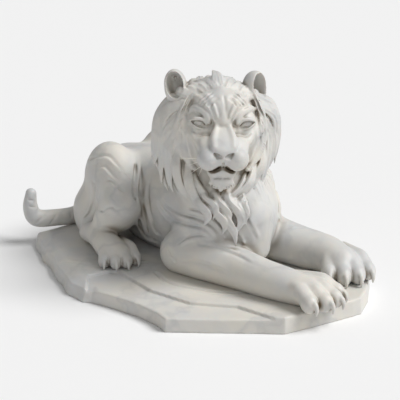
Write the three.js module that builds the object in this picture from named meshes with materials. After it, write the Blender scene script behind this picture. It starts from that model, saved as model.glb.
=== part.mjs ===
// A reclining big cat carved in white marble, on its own low slab.
// Millimetres. +X is the way the body faces, +Y its left, +Z up.
// The layout has z = 0 on the top of the slab and y = 0 on the middle of the body;
// at the end everything is moved so that the slab's underside rests on z = 0.

import * as THREE from 'three';

// ---------------------------------------------------------------- driving sizes
const SLAB_THICKNESS = 65;
const SLAB_STEP = 12;               // height of the carved step round the top
const TRUNK_RADIUS = 175;           // half width of the barrel of the body
const TRUNK_HEIGHT = 197;           // height of the spine's centre above the slab
const TAIL_RADIUS = 35;
const HEAD_YAW = -40;               // degrees, the head turns to its own right
const HEAD_ROLL = -2;
const EYE_LINE = [-16.5, -141, 610];  // the point between the eyes
const PAW_NEAR = 1.16;              // paws against a 156 mm wide paw
const PAW_FAR = 1.16;
const PAW_HIND = 0.92;
const MANE_LIFT = 16;               // how far a lock's tip stands off the hair below
const LOCK_THICKNESS = 11;
const MANE_CENTRE = [-250, 0, -100]; // where the mane is flattened from, head frame
const MANE_RADIUS = 270;
const WHISKER_DIAMETER = 2.6;
const CLAY_STEP = 8;                // grid step of the carved body
const SLAB_CLAY_STEP = 12;
const TINY_FACET = 2;               // square mm; below this a facet's own direction says nothing
const TIGER_TRIANGLES = 8300;
const SLAB_TRIANGLES = 1100;

const MARBLE_WHITE = 0xe9e7e2;
const WHISKER_WHITE = 0xf2f0ea;

// ---------------------------------------------------------------- small vectors
const DEG = Math.PI / 180;
const add = (a, b) => [a[0] + b[0], a[1] + b[1], a[2] + b[2]];
const sub = (a, b) => [a[0] - b[0], a[1] - b[1], a[2] - b[2]];
const mul = (a, k) => [a[0] * k, a[1] * k, a[2] * k];
const dot = (a, b) => a[0] * b[0] + a[1] * b[1] + a[2] * b[2];
const cross = (a, b) => [a[1] * b[2] - a[2] * b[1], a[2] * b[0] - a[0] * b[2], a[0] * b[1] - a[1] * b[0]];
const size = (a) => Math.hypot(a[0], a[1], a[2]);
const unit = (a) => mul(a, 1 / (size(a) || 1));
const clamp = (v, a, b) => Math.min(b, Math.max(a, v));
const smooth = (v) => { const t = clamp(v, 0, 1); return t * t * (3 - 2 * t); };
const mix = (a, b, t) => a + (b - a) * t;

// The same scatter of numbers between 0 and 1 every time.
function scatter(i) {
  const v = Math.sin(i * 12.9898 + 4.1) * 43758.5453;
  return v - Math.floor(v);
}

// Three axes (forward, left, up) turned by yaw, pitch (nose up) and roll (left side up).
function turn(yaw = 0, pitch = 0, roll = 0) {
  const [cy, sy, cp, sp, cr, sr] = [yaw, pitch, roll].flatMap((a) => [Math.cos(a * DEG), Math.sin(a * DEG)]);
  return [
    [cy * cp, sy * cp, sp],
    [-sy * cr - cy * sp * sr, cy * cr - sy * sp * sr, cp * sr],
    [sy * sr - cy * sp * cr, -cy * sr - sy * sp * cr, cp * cr],
  ];
}
const along = (axes, v) => add(add(mul(axes[0], v[0]), mul(axes[1], v[1])), mul(axes[2], v[2]));
// Turns the axes `b`, given in the frame of `a`, into the frame of the layout.
const turned = (a, b) => b.map((v) => along(a, v));

// A smooth curve through the points, `n` steps from each to the next.
function curve(points, n = 6) {
  const p = [sub(mul(points[0], 2), points[1]), ...points,
    sub(mul(points.at(-1), 2), points.at(-2))];
  const out = [];
  for (let i = 1; i < p.length - 2; i++) {
    for (let j = 0; j < n; j++) {
      const t = j / n;
      out.push([0, 1, 2].map((k) => 0.5 * (2 * p[i][k] + (p[i + 1][k] - p[i - 1][k]) * t
        + (2 * p[i - 1][k] - 5 * p[i][k] + 4 * p[i + 1][k] - p[i + 2][k]) * t * t
        + (3 * p[i][k] - p[i - 1][k] - 3 * p[i + 1][k] + p[i + 2][k]) * t ** 3)));
    }
  }
  out.push(points.at(-1));
  return out;
}

// Values given at the points of a curve, spread over its finer steps.
function spread(values, count) {
  return Array.from({ length: count }, (_, i) => {
    const t = (i / (count - 1)) * (values.length - 1);
    const j = Math.min(Math.floor(t), values.length - 2);
    return mix(values[j], values[j + 1], t - j);
  });
}

// ---------------------------------------------------------------- clay
// A block of space that holds, at each grid point, the distance to the carved surface
// (negative inside). Forms are added to it or cut from it with a soft edge.
const softMin = (a, b, k) => {
  const h = Math.max(k - Math.abs(a - b), 0) / k;
  return Math.min(a, b) - h * h * k * 0.25;
};

class Clay {
  constructor(low, high, step) {
    this.low = low;
    this.step = step;
    this.count = [0, 1, 2].map((i) => Math.ceil((high[i] - low[i]) / step) + 1);
    this.field = new Float32Array(this.count[0] * this.count[1] * this.count[2]).fill(500);
  }

  // Calls `visit(index, point)` for the grid points of a box.
  each(low, high, visit) {
    const [nx, ny, nz] = this.count;
    const first = [0, 1, 2].map((i) => Math.max(0, Math.floor((low[i] - this.low[i]) / this.step)));
    const last = [0, 1, 2].map((i) => Math.min(this.count[i] - 1, Math.ceil((high[i] - this.low[i]) / this.step)));
    const p = [0, 0, 0];
    for (let x = first[0]; x <= last[0]; x++) {
      p[0] = this.low[0] + x * this.step;
      for (let y = first[1]; y <= last[1]; y++) {
        p[1] = this.low[1] + y * this.step;
        for (let z = first[2]; z <= last[2]; z++) {
          p[2] = this.low[2] + z * this.step;
          visit((x * ny + y) * nz + z, p);
        }
      }
    }
  }

  form(shape, soft, cut = false) {
    const pad = Math.max(soft, 3 * this.step) + 10;
    const k = Math.max(soft, 1);
    const low = shape.low.map((v) => v - pad);
    const high = shape.high.map((v) => v + pad);
    this.each(low, high, (i, p) => {
      const v = shape.distance(p);
      this.field[i] = cut ? -softMin(-this.field[i], v, k) : softMin(this.field[i], v, k);
    });
  }

  at(p) {
    const [, ny, nz] = this.count;
    const cell = [0, 1, 2].map((i) => clamp((p[i] - this.low[i]) / this.step, 0, this.count[i] - 1.001));
    const [x, y, z] = cell.map(Math.floor);
    const [a, b, c] = [cell[0] - x, cell[1] - y, cell[2] - z];
    const f = (i, j, k) => this.field[((x + i) * ny + y + j) * nz + z + k];
    const edge = (i, j) => mix(f(i, j, 0), f(i, j, 1), c);
    return mix(mix(edge(0, 0), edge(0, 1), b), mix(edge(1, 0), edge(1, 1), b), a);
  }

  // The first point of the surface met from `from` in the direction `way`.
  meet(from, way, reach) {
    let before = null;
    for (let t = 0; t < reach; t += 2) {
      const v = this.at(add(from, mul(way, t)));
      if (v < 0 && before !== null) return add(from, mul(way, t - 2 * v / (v - before)));
      before = v;
    }
    return null;
  }

  // A soft groove (depth above 0) or ridge (below 0) that follows a path on the surface.
  carve(path, width, depth, taper = 0.25) {
    const part = path.slice(1).map((p, i) => size(sub(p, path[i])));
    const total = part.reduce((a, b) => a + b, 0);
    const low = [0, 1, 2].map((i) => Math.min(...path.map((p) => p[i])) - width * 2.6);
    const high = [0, 1, 2].map((i) => Math.max(...path.map((p) => p[i])) + width * 2.6);
    this.each(low, high, (index, p) => {
      let best = Infinity, place = 0, passed = 0;
      for (let i = 0; i < part.length; i++) {
        const [d, t] = segment(p, path[i], path[i + 1]);
        if (d < best) { best = d; place = (passed + t * part[i]) / total; }
        passed += part[i];
      }
      const fade = smooth(Math.min(place, 1 - place) / Math.max(taper, 0.001));
      this.field[index] += depth * fade * Math.exp(-best / width ** 2);
    });
  }
}

// Square of the distance from a point to a segment, and where along it the nearest point is.
function segment(p, a, b) {
  const ab = sub(b, a), ap = sub(p, a);
  const t = clamp(dot(ap, ab) / Math.max(dot(ab, ab), 1e-9), 0, 1);
  const w = sub(ap, mul(ab, t));
  return [dot(w, w), t, w];
}

// An ellipsoid with half sizes `r` along its own axes.
function ball(centre, r, axes = turn()) {
  const reach = [0, 1, 2].map((i) => Math.hypot(axes[0][i] * r[0], axes[1][i] * r[1], axes[2][i] * r[2]));
  return {
    low: sub(centre, reach),
    high: add(centre, reach),
    distance(p) {
      const q = sub(p, centre);
      const u = [dot(q, axes[0]), dot(q, axes[1]), dot(q, axes[2])];
      const near = Math.hypot(u[0] / r[0], u[1] / r[1], u[2] / r[2]);
      const slope = Math.hypot(u[0] / r[0] ** 2, u[1] / r[1] ** 2, u[2] / r[2] ** 2);
      return near * (near - 1) / Math.max(slope, 1e-6);
    },
  };
}

// A round bar along a path, with a radius at each point. `flat` thins it along a direction.
function bar(path, radii, flat = null) {
  const most = Math.max(...radii);
  return {
    low: [0, 1, 2].map((i) => Math.min(...path.map((p) => p[i])) - most),
    high: [0, 1, 2].map((i) => Math.max(...path.map((p) => p[i])) + most),
    distance(p) {
      let best = Infinity;
      for (let i = 0; i < path.length - 1; i++) {
        const [d, t, w] = segment(p, path[i], path[i + 1]);
        const c = flat ? dot(w, flat.way) ** 2 * (1 / flat.thin ** 2 - 1) : 0;
        best = Math.min(best, Math.sqrt(d + c) - mix(radii[i], radii[i + 1], t));
      }
      return best;
    },
  };
}
const bentBar = (points, radii, n = 6, flat = null) => {
  const path = curve(points, n);
  return bar(path, spread(radii, path.length), flat);
};

// ---------------------------------------------------------------- head frame
const HEAD = turn(HEAD_YAW, 0, HEAD_ROLL);
const onHead = (f, l, u) => add(EYE_LINE, along(HEAD, [f, l, u]));
const headBall = (clay, place, r, soft = 20, way = [0, 0, 0], cut = false) =>
  clay.form(ball(onHead(...place), r, turned(HEAD, turn(...way))), soft, cut);
const headBar = (clay, points, radii, soft = 10, cut = false) =>
  clay.form(bentBar(points.map((p) => onHead(...p)), radii, 5), soft, cut);

// ---------------------------------------------------------------- body and limbs
function paw(clay, at, heading, scale) {
  const axes = turn(heading);
  const place = (f, l, u) => add(at, mul(along(axes, [f, l, u]), scale));
  clay.form(ball(place(-55, 0, 40), [85 * scale, 78 * scale, 36 * scale], turn(heading, -12)), 20);
  for (const [side, forward, splay] of [[-63, -22, -12], [-22, 4, -4], [22, 4, 4], [63, -22, 12]]) {
    const way = turn(heading + splay);
    const toe = (f, u) => add(place(forward, side, 0), mul(along(way, [f, 0, u]), scale));
    clay.form(bar([toe(-85, 62), toe(-30, 54), toe(5, 36)], [21, 26, 29].map((r) => r * scale)), 10);
    clay.form(ball(toe(12, 30), [30 * scale, 25 * scale, 30 * scale], turn(heading + splay, -35)), 6);
    // the claw stands out of the toe and hangs nearly straight down
    const claw = [toe(24, 42), toe(40, 34), toe(47, 18), toe(45, 1)];
    clay.form(bentBar(claw, [9, 9, 6.5, 2.4].map((r) => r * scale), 4), 2);
  }
}

function body(clay) {
  const limb = (points, radii, soft) => clay.form(bentBar(points, radii), soft);
  const z = TRUNK_HEIGHT, r = TRUNK_RADIUS;
  limb([[-700, 0, z - 2], [-560, 0, z + 3], [-400, 0, z - 2], [-250, 0, z + 3], [-110, 0, z - 7]],
    [r - 35, r - 10, r, r, r - 20], 20);
  clay.form(ball([-420, 0, 85], [330, 150, 120]), 60);
  clay.form(ball([-100, 0, 190], [150, 155, 190]), 60);
  limb([[-130, 0, 240], [-130, -30, 360], [-140, -70, 540]], [130, 120, 120], 50);
  for (const s of [-1, 1]) {
    const at = (x, out, up) => [x, s * out, up];
    const way = (yaw = 0, pitch = 0) => turn(s * -yaw, pitch);
    clay.form(ball(at(-140, 105, 240), [125, 75, 140], way(0, -20)), 50);
    clay.form(ball(at(-130, 150, 150), [95, 70, 120], way(0, -30)), 50);
    clay.form(ball(at(-630, 150, 225), [135, 105, 165], way(-10, 12)), 40);
    clay.form(ball(at(-540, 205, 200), [120, 75, 130], way(-15, 20)), 40);
    clay.form(ball(at(-690, 200, 100), [95, 75, 115]), 40);
    limb([at(-470, 250, 200), at(-520, 265, 130), at(-560, 275, 65)], [75, 62, 45], 30);
    limb([at(-645, 265, 45), at(-560, 285, 60), at(-460, 325, 55), at(-400, 335, 45)], [40, 50, 52, 45], 20);
    paw(clay, at(-365, 345, 0), s * 30, PAW_HIND);
  }
  limb([[-190, -180, 70], [-80, -165, 72], [60, -140, 64], [180, -125, 58], [280, -105, 54], [360, -85, 48]],
    [88, 88, 79, 71, 66, 58], 30);
  limb([[-160, 160, 72], [-40, 170, 72], [90, 185, 68], [190, 205, 66], [270, 200, 54]],
    [90, 84, 76, 72, 66], 30);
  paw(clay, [440, -60, 0], 4, PAW_NEAR);
  paw(clay, [335, 180, 0], -30, PAW_FAR);
  const t = TAIL_RADIUS;
  limb([[-780, 20, 130], [-850, -40, 70], [-855, -160, 36], [-885, -260, 36], [-915, -320, 45], [-930, -335, 90], [-930, -330, 145]],
    [t + 15, t + 5, t - 1, t - 1, t + 1, t - 5, t - 13], 20);
}

// ---------------------------------------------------------------- face
function eye(clay, s) {
  const centre = [-30, s * 82, 0], radius = 40;
  const lid = (side, up, out = 1) => {
    const c = Math.cos(up * DEG);
    return add(centre, mul([Math.cos(side * DEG) * c, s * Math.sin(side * DEG) * c, Math.sin(up * DEG)], radius * out));
  };
  headBall(clay, [12, s * 80, -2], [22, 36, 20], 10, [s * 24, 0, s * 16], true);
  headBall(clay, centre, [radius, radius, radius], 2);
  headBar(clay, [lid(-42, -30, 0.98), lid(-22, 6, 1.02), lid(4, 24, 1.06), lid(34, 26, 1.05), lid(66, 12)], [4, 6.5, 7.8, 7, 4], 7);
  headBar(clay, [lid(-42, -32, 0.98), lid(-12, -34, 1.02), lid(18, -29, 1.04), lid(46, -12, 1.02), lid(68, 8)], [4, 5.5, 6.2, 5.5, 4], 7);
}

function face(clay) {
  headBall(clay, [-135, 0, 20], [130, 125, 122]);
  headBall(clay, [-60, 0, -30], [75, 130, 85], 50);
  headBall(clay, [-50, 0, 50], [60, 80, 65], 40, [0, -30, 0]);
  const bridge = [[-50, 0, 35], [0, 0, -12], [50, 0, -36], [95, 0, -58], [115, 0, -70]].map((p) => onHead(...p));
  const top = unit(along(HEAD, [0.35, 0, 1]));
  clay.form(bentBar(bridge, [32, 38, 46, 50, 44], 4, { way: top, thin: 0.6 }), 22);
  headBall(clay, [45, 0, -95], [75, 62, 50], 30);
  for (const s of [1, -1]) {
    headBar(clay, [[-10, s * 18, 22], [30, s * 27, -4], [80, s * 36, -30], [118, s * 30, -52]], [10, 12, 13, 12], 14);
    headBall(clay, [76, s * 50, -108], [58, 48, 44], 10, [s * 12, 4, 0]);
    headBall(clay, [20, s * 60, -70], [50, 35, 35], 30);
    headBall(clay, [-30, s * 100, -50], [55, 40, 35], 30);
    headBall(clay, [-50, s * 85, -120], [80, 50, 55], 40);
  }
  headBall(clay, [120, 0, -70], [22, 46, 21], 10, [0, -15, 0]);
  headBar(clay, [[45, -55, -172], [82, -35, -162], [94, 0, -155], [82, 35, -162], [45, 55, -172]], [12, 15, 16, 15, 12], 10);
  headBall(clay, [52, 0, -186], [44, 43, 28], 15);
  headBall(clay, [0, 0, -150], [80, 70, 45], 30);
  for (const s of [1, -1]) {
    eye(clay, s);
    headBar(clay, [[-32, s * 135, 28], [-10, s * 112, 46], [6, s * 82, 42], [18, s * 56, 18], [24, s * 38, -6]], [8, 13, 14, 12, 8], 22);
    headBar(clay, [[146, s * 14, -83], [134, s * 26, -79], [112, s * 46, -66]], [6.5, 6.5, 4], 5, true);
    headBar(clay, [[122, 0, -128], [112, s * 24, -137], [84, s * 50, -154], [50, s * 64, -160]], [7, 9, 8, 4], 4, true);
  }
  headBall(clay, [90, 0, -142], [30, 30, 10], 6, [0, 0, 0], true);
}

function ears(clay) {
  for (const s of [1, -1]) {
    const axes = turned(HEAD, turn(s < 0 ? -14 : 50, 8, s * -16));
    const middle = onHead(-125, s * 152 - 6, 104);
    clay.form(ball(middle, [30, 43, 60], axes), 12);
    clay.form(bar([add(middle, along(axes, [-5, 0, -30])), onHead(-130, s * 120, 40)], [36, 50]), 20);
    clay.form(ball(add(middle, along(axes, [24, 0, 6])), [36, 35, 50], axes), 3, true);
  }
}

// ---------------------------------------------------------------- mane
// The hair's mass round the face and down the chest.
function maneMass(clay) {
  headBall(clay, [-150, -18, -90], [120, 218, 174], 30);
  headBall(clay, [-135, -12, -160], [120, 190, 140], 30);
  headBall(clay, [-155, -32, 6], [110, 152, 116], 30);
  headBall(clay, [-120, -6, -270], [120, 155, 120], 40);
  // the nape falls from the back of the head to the withers
  clay.form(bentBar([onHead(-185, -10, -50), [-225, 0, 410], [-300, 0, 300]], [128, 125, 105]), 50);
  clay.form(bar([onHead(-80, 0, -280), [0, -30, 240], [35, -10, 100]], [115, 88, 45]), 50);
}

// Flattens a point of the mane: the distance from the middle of the face becomes the
// angle seen from MANE_CENTRE, and the direction round the face stays as it is.
function flatten(f, l, u) {
  const x = f - MANE_CENTRE[0];
  const up = u - MANE_CENTRE[2];
  const z = up < 0 ? up * 0.8 : up;
  const angle = Math.acos(clamp(x / (Math.hypot(x, l, z) + 1e-6), -1, 1)) * MANE_RADIUS;
  const q = Math.hypot(l, z) + 1e-6;
  return [angle * l / q, angle * z / q];
}

// Hair grows away from the face and turns down the sides of the head.
function comb(p, curl) {
  const r = Math.hypot(...p) + 1e-6;
  const down = smooth((Math.atan2(Math.abs(p[0]), p[1]) - 0.45) / 0.9);
  const d = [p[0] / r * (1 - 0.55 * down), p[1] / r * (1 - 0.55 * down) - 1.25 * down];
  const n = Math.hypot(...d);
  const side = Math.sign(p[0]) || 1;
  return [(d[0] - d[1] * side * curl) / n, (d[1] + d[0] * side * curl) / n];
}

// The height of the hair over the flattened mane, lock upon lock.
class Hair {
  constructor(half, step) {
    this.half = half;
    this.step = step;
    this.count = Math.floor(2 * half / step) + 1;
    this.height = new Float32Array(this.count ** 2);
  }

  lock(path, width) {
    const n = path.length - 1;
    const cell = (v) => clamp(Math.round((v + this.half) / this.step), 0, this.count - 1);
    const xs = path.map((p) => p[0]), ys = path.map((p) => p[1]);
    for (let i = cell(Math.min(...xs) - width); i <= cell(Math.max(...xs) + width); i++) {
      for (let j = cell(Math.min(...ys) - width); j <= cell(Math.max(...ys) + width); j++) {
        const x = i * this.step - this.half, y = j * this.step - this.half;
        let best = Infinity, place = 0;
        for (let k = 0; k < n; k++) {
          const [d, t] = segment([x, y, 0], [...path[k], 0], [...path[k + 1], 0]);
          if (d < best) { best = d; place = (k + t) / n; }
        }
        const half = width * 0.5 * Math.min(0.55 + place * 2.2, 1) * clamp((1 - place) / 0.45, 0, 1) ** 0.75 + 1e-3;
        const across = Math.sqrt(best) / half;
        if (across >= 1) continue;
        const round = Math.sqrt(1 - across ** 2);
        const h = MANE_LIFT * place + LOCK_THICKNESS * round * Math.min(1, 0.4 + 1.5 * (1 - place));
        const at = i * this.count + j;
        this.height[at] = Math.max(this.height[at], h);
      }
    }
  }

  at(x, y) {
    const gx = clamp((x + this.half) / this.step, 0, this.count - 1.001);
    const gy = clamp((y + this.half) / this.step, 0, this.count - 1.001);
    const i = Math.floor(gx), j = Math.floor(gy);
    const h = (a, b) => this.height[(i + a) * this.count + j + b];
    return mix(mix(h(0, 0), h(0, 1), gy - j), mix(h(1, 0), h(1, 1), gy - j), gx - i);
  }
}

function combedHair() {
  const hair = new Hair(880, 6);
  // distance of a ring of roots from the middle of the face, lock width, lock length
  const rings = [[860, 48, 170], [800, 48, 170], [740, 48, 170], [680, 47, 160], [620, 46, 160], [560, 45, 160],
    [500, 44, 160], [450, 43, 150], [400, 42, 150], [355, 40, 140], [310, 38, 130], [270, 36, 120], [235, 32, 100]];
  const steps = 10;
  let k = 0;
  for (const [ring, width, length] of rings) {
    const n = Math.floor(2 * Math.PI * ring / (width * 0.8) / 2);
    for (let i = 0; i < n; i++) {
      for (const side of [1, -1]) {
        k++;
        const angle = (i + 0.5 + 0.5 * (scatter(k) - 0.5)) * Math.PI / n;
        const root = ring * (1 + 0.06 * (scatter(k + 0.3) - 0.5));
        let p = [side * Math.sin(angle) * root, Math.cos(angle) * root];
        const path = [p];
        const reach = length * (0.8 + 0.4 * scatter(k + 0.7));
        const sway = 0.3 + 0.25 * scatter(k + 0.9);
        for (let j = 0; j < steps; j++) {
          const t = j / steps;
          const curl = sway * Math.sin(2 * Math.PI * (t * 0.95 + scatter(k + 0.5) * 0.5))
            + 0.9 * (scatter(k + 0.2) - 0.25) * Math.max(t - 0.6, 0) * 2;
          const d = comb(p, curl);
          const m = reach / steps / Math.hypot(...d);
          p = [p[0] + d[0] * m, p[1] + d[1] * m];
          path.push(p);
        }
        hair.lock(path, width * (0.8 + 0.45 * scatter(k + 0.1)));
      }
    }
  }
  return hair;
}

function mane(clay) {
  const hair = combedHair();
  const low = add(EYE_LINE, [-560, -460, -560]), high = add(EYE_LINE, [340, 440, 300]);
  clay.each(low, high, (index, p) => {
    if (Math.abs(clay.field[index]) > 50) return;
    const q = sub(p, EYE_LINE);
    const [f, l, u] = HEAD.map((axis) => dot(q, axis));
    const far = Math.hypot(f + 170, l, u * 0.72 + 90);
    if (far > 355) return;
    const bare = Math.hypot(l / 152, (u + 5) / (u > -5 ? 130 : 200));
    const front = clamp((f + 160) / 60, 0, 1);
    const edge = mix(1, smooth((bare - 0.93) / 0.14), front);
    let clear = clamp((Math.hypot((f - 60) / 75, l / 85, (u + 140) / 85) - 0.9) / 0.25, 0, 1);
    for (const s of [1, -1]) clear *= clamp((Math.hypot(f + 125, l - s * 152, u - 110) - 55) / 30, 0, 1);
    clay.field[index] -= hair.at(...flatten(f, l, u)) * edge * clear * clamp((355 - far) / 50, 0, 1);
  });
}

// A free lock of `n` strands that narrows to a point.
function lock(clay, points, width, n = 3, soft = 4) {
  const path = curve(points.map((p) => onHead(...p)), 4);
  const out = add(mul(HEAD[0], 0.8), mul(HEAD[2], 0.2));
  for (let j = 0; j < n; j++) {
    const o = (j - (n - 1) / 2) / Math.max((n - 1) / 2, 0.5);
    const strand = path.map((p, i) => {
      const t = i / (path.length - 1);
      const way = unit(sub(path[Math.min(i + 1, path.length - 1)], path[Math.max(i - 1, 0)]));
      const across = unit(cross(way, out));
      const half = width * 0.5 * Math.min(0.6 + 1.5 * t, 1) * clamp((1 - t) / 0.55, 0, 1) ** 0.7;
      const r = width / n * 0.6 * clamp((1.02 - t) / 0.6, 0.05, 1) ** 0.8;
      return { at: add(add(p, mul(across, half * o * 0.75)), mul(HEAD[0], 0.3 * r * (1 - o * o))), r: Math.max(r, 2.5) };
    });
    clay.form(bar(strand.map((v) => v.at), strand.map((v) => v.r)), soft);
  }
}

function freeLocks(clay) {
  const sides = [
    [[[-100, 160, 60], [-125, 205, -30], [-130, 214, -120], [-130, 216, -170], [-120, 236, -205]], 46],
    [[[-70, 165, -60], [-60, 192, -170], [-60, 188, -250], [-60, 172, -303]], 45],
    [[[-50, 150, -100], [-15, 160, -180], [-10, 138, -255], [-30, 122, -305]], 42],
    [[[-20, 110, -150], [20, 112, -220], [28, 85, -300], [15, 55, -357]], 40],
    [[[0, 75, -170], [35, 75, -230], [45, 50, -290], [35, 30, -330]], 34],
    [[[-100, 180, -160], [-80, 202, -220], [-80, 194, -270], [-80, 204, -300]], 40],
  ];
  for (const [points, width] of sides) {
    for (const s of [1, -1]) {
      const shift = s > 0 ? 12 : 0;
      lock(clay, points.map(([f, l, u], i) => [f, s * l - shift * i / 3, u + shift * 0.6]), width);
    }
  }
  for (const [l, f, u] of [[0, 0, 0], [22, -4, 8], [-22, -4, 6], [12, 6, 12], [-11, 6, 10]]) {
    lock(clay, [[45 + f, l, -180], [66 + f, l * 1.1, -200], [60 + f, l * 0.9, u - 222], [50 + f, l * 0.5, u - 236]], 24, 2, 5);
  }
  const chest = [[0, 30, -240, -475, 50], [-50, -10, -260, -420, 45], [50, 55, -260, -420, 45],
    [-80, -60, -270, -400, 40], [85, 85, -270, -380, 40], [10, 10, -220, -370, 40]];
  for (const [l0, l1, u0, u1, width] of chest) {
    lock(clay, [[0, l0, u0], [45, mix(l0, l1, 0.3) + 12, mix(u0, u1, 0.34)],
      [65, mix(l0, l1, 0.7) - 12, mix(u0, u1, 0.67)], [62, l1, u1]], width);
  }
  for (const [angle, rise] of [[0, 55], [14, 50], [-14, 50], [30, 40], [-30, 40]]) {
    const [c, s] = [Math.cos(angle * DEG), Math.sin(angle * DEG)];
    lock(clay, [[-65, s * 90, 115], [-85, s * 120, 135 + rise * 0.25], [-110, s * 150 - 6, 150 + rise * 0.45 * c],
      [-145, s * 200 - 12, 150 + rise * 0.55 * c]], 34, 3, 5);
  }
}

// ---------------------------------------------------------------- folds of the body
function folds(clay) {
  const side = (s, points, width, depth, taper) => {
    const path = points.map(([x, z]) => clay.meet([x, s * 480, z], [0, -s, 0], 470)).filter(Boolean);
    if (path.length > 1) clay.carve(curve(path, 4), width, depth, taper);
  };
  for (const s of [-1, 1]) {
    // long folds that fall from the back to the belly
    for (const [x, lean] of [[-480, 60], [-430, 70], [-375, 75], [-320, 80], [-270, 80], [-225, 70]]) {
      side(s, [[x, 330], [x + 5, 240], [x + lean * 0.45, 150], [x + lean, 60]], 12, 7);
    }
    // crescents over the shoulder and the upper arm
    for (const [rise, depth] of [[0, -12], [38, -10], [75, -8]]) {
      side(s, [[-255 + rise * 0.2, 235 + rise], [-215, 165 + rise], [-150, 140 + rise], [-80, 140 + rise], [-20, 120 + rise]], 12, depth);
      side(s, [[-240 + rise * 0.2, 215 + rise], [-205, 145 + rise], [-145, 120 + rise], [-75, 120 + rise]], 10, 7);
    }
    // the haunch: its front edge and two hollows
    side(s, [[-430, 330], [-415, 250], [-440, 170], [-490, 110]], 18, 12);
    side(s, [[-700, 300], [-640, 285], [-590, 240], [-540, 225]], 12, 6);
    side(s, [[-700, 215], [-640, 190], [-580, 170], [-520, 190]], 12, 6);
  }
}

// ---------------------------------------------------------------- surface of the clay
// Walks the grid, six tetrahedra to each cell, so that the surface is always closed.
function surface(clay) {
  const { field, count: [nx, ny, nz], low, step } = clay;
  const offset = (m) => ((m & 1) * ny + ((m >> 1) & 1)) * nz + ((m >> 2) & 1);
  const offsets = Array.from({ length: 8 }, (_, m) => offset(m));
  const cells = [[0, 1, 3, 7], [0, 3, 2, 7], [0, 2, 6, 7], [0, 6, 4, 7], [0, 4, 5, 7], [0, 5, 1, 7]];
  const firsts = [[0, 1, 2, 3], [1, 0, 3, 2], [2, 0, 1, 3], [3, 0, 2, 1]];
  const pairs = { 3: [0, 1, 2, 3], 5: [0, 2, 3, 1], 9: [0, 3, 1, 2], 6: [1, 2, 0, 3], 10: [1, 3, 2, 0], 12: [2, 3, 0, 1] };
  const points = [], faces = [], known = new Map();
  const corner = (base, m, n) => {
    const [a, b] = m < n ? [m, n] : [n, m];
    const start = base + offsets[a];
    const key = start * 8 + (b - a);
    let id = known.get(key);
    if (id === undefined) {
      id = points.length / 3;
      known.set(key, id);
      const end = base + offsets[b];
      const t = clamp(field[start] / (field[start] - field[end]), 0.02, 0.98);
      const z = start % nz, y = Math.floor(start / nz) % ny, x = Math.floor(start / nz / ny);
      const way = b - a;
      points.push(low[0] + step * (x + t * (way & 1)), low[1] + step * (y + t * ((way >> 1) & 1)),
        low[2] + step * (z + t * ((way >> 2) & 1)));
    }
    return id;
  };
  for (let x = 0; x < nx - 1; x++) {
    for (let y = 0; y < ny - 1; y++) {
      for (let z = 0; z < nz - 1; z++) {
        const base = (x * ny + y) * nz + z;
        let inside = 0;
        for (let m = 0; m < 8; m++) if (field[base + offsets[m]] < 0) inside |= 1 << m;
        if (inside === 0 || inside === 255) continue;
        for (const tet of cells) {
          let code = 0;
          tet.forEach((m, i) => { if (inside & (1 << m)) code |= 1 << i; });
          if (code === 0 || code === 15) continue;
          const one = [1, 2, 4, 8].indexOf(code), three = [14, 13, 11, 7].indexOf(code);
          if (one >= 0 || three >= 0) {
            const [i, j, k, l] = firsts[Math.max(one, three)].map((v) => tet[v]);
            const [a, b, c] = [corner(base, i, j), corner(base, i, k), corner(base, i, l)];
            faces.push(...(one >= 0 ? [a, b, c] : [a, c, b]));
          } else {
            const [i, j, k, l] = pairs[code].map((v) => tet[v]);
            const [a, b, c, d] = [corner(base, i, k), corner(base, i, l), corner(base, j, l), corner(base, j, k)];
            faces.push(a, b, c, a, c, d);
          }
        }
      }
    }
  }
  return { points: Float64Array.from(points), faces: Int32Array.from(faces) };
}

// Keeps the one largest shell, without any small hollow or crumb beside it.
function largestShell({ points, faces }) {
  const root = Int32Array.from({ length: points.length / 3 }, (_, i) => i);
  const find = (v) => {
    while (root[v] !== v) { root[v] = root[root[v]]; v = root[v]; }
    return v;
  };
  for (let i = 0; i < faces.length; i += 3) {
    root[find(faces[i])] = find(faces[i + 1]);
    root[find(faces[i + 1])] = find(faces[i + 2]);
  }
  const tally = new Map();
  for (let i = 0; i < faces.length; i += 3) tally.set(find(faces[i]), (tally.get(find(faces[i])) || 0) + 1);
  const [largest] = [...tally].sort((a, b) => b[1] - a[1])[0];
  return { points, faces: Int32Array.from(faces).filter((_, i) => find(faces[i - (i % 3)]) === largest) };
}

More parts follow.
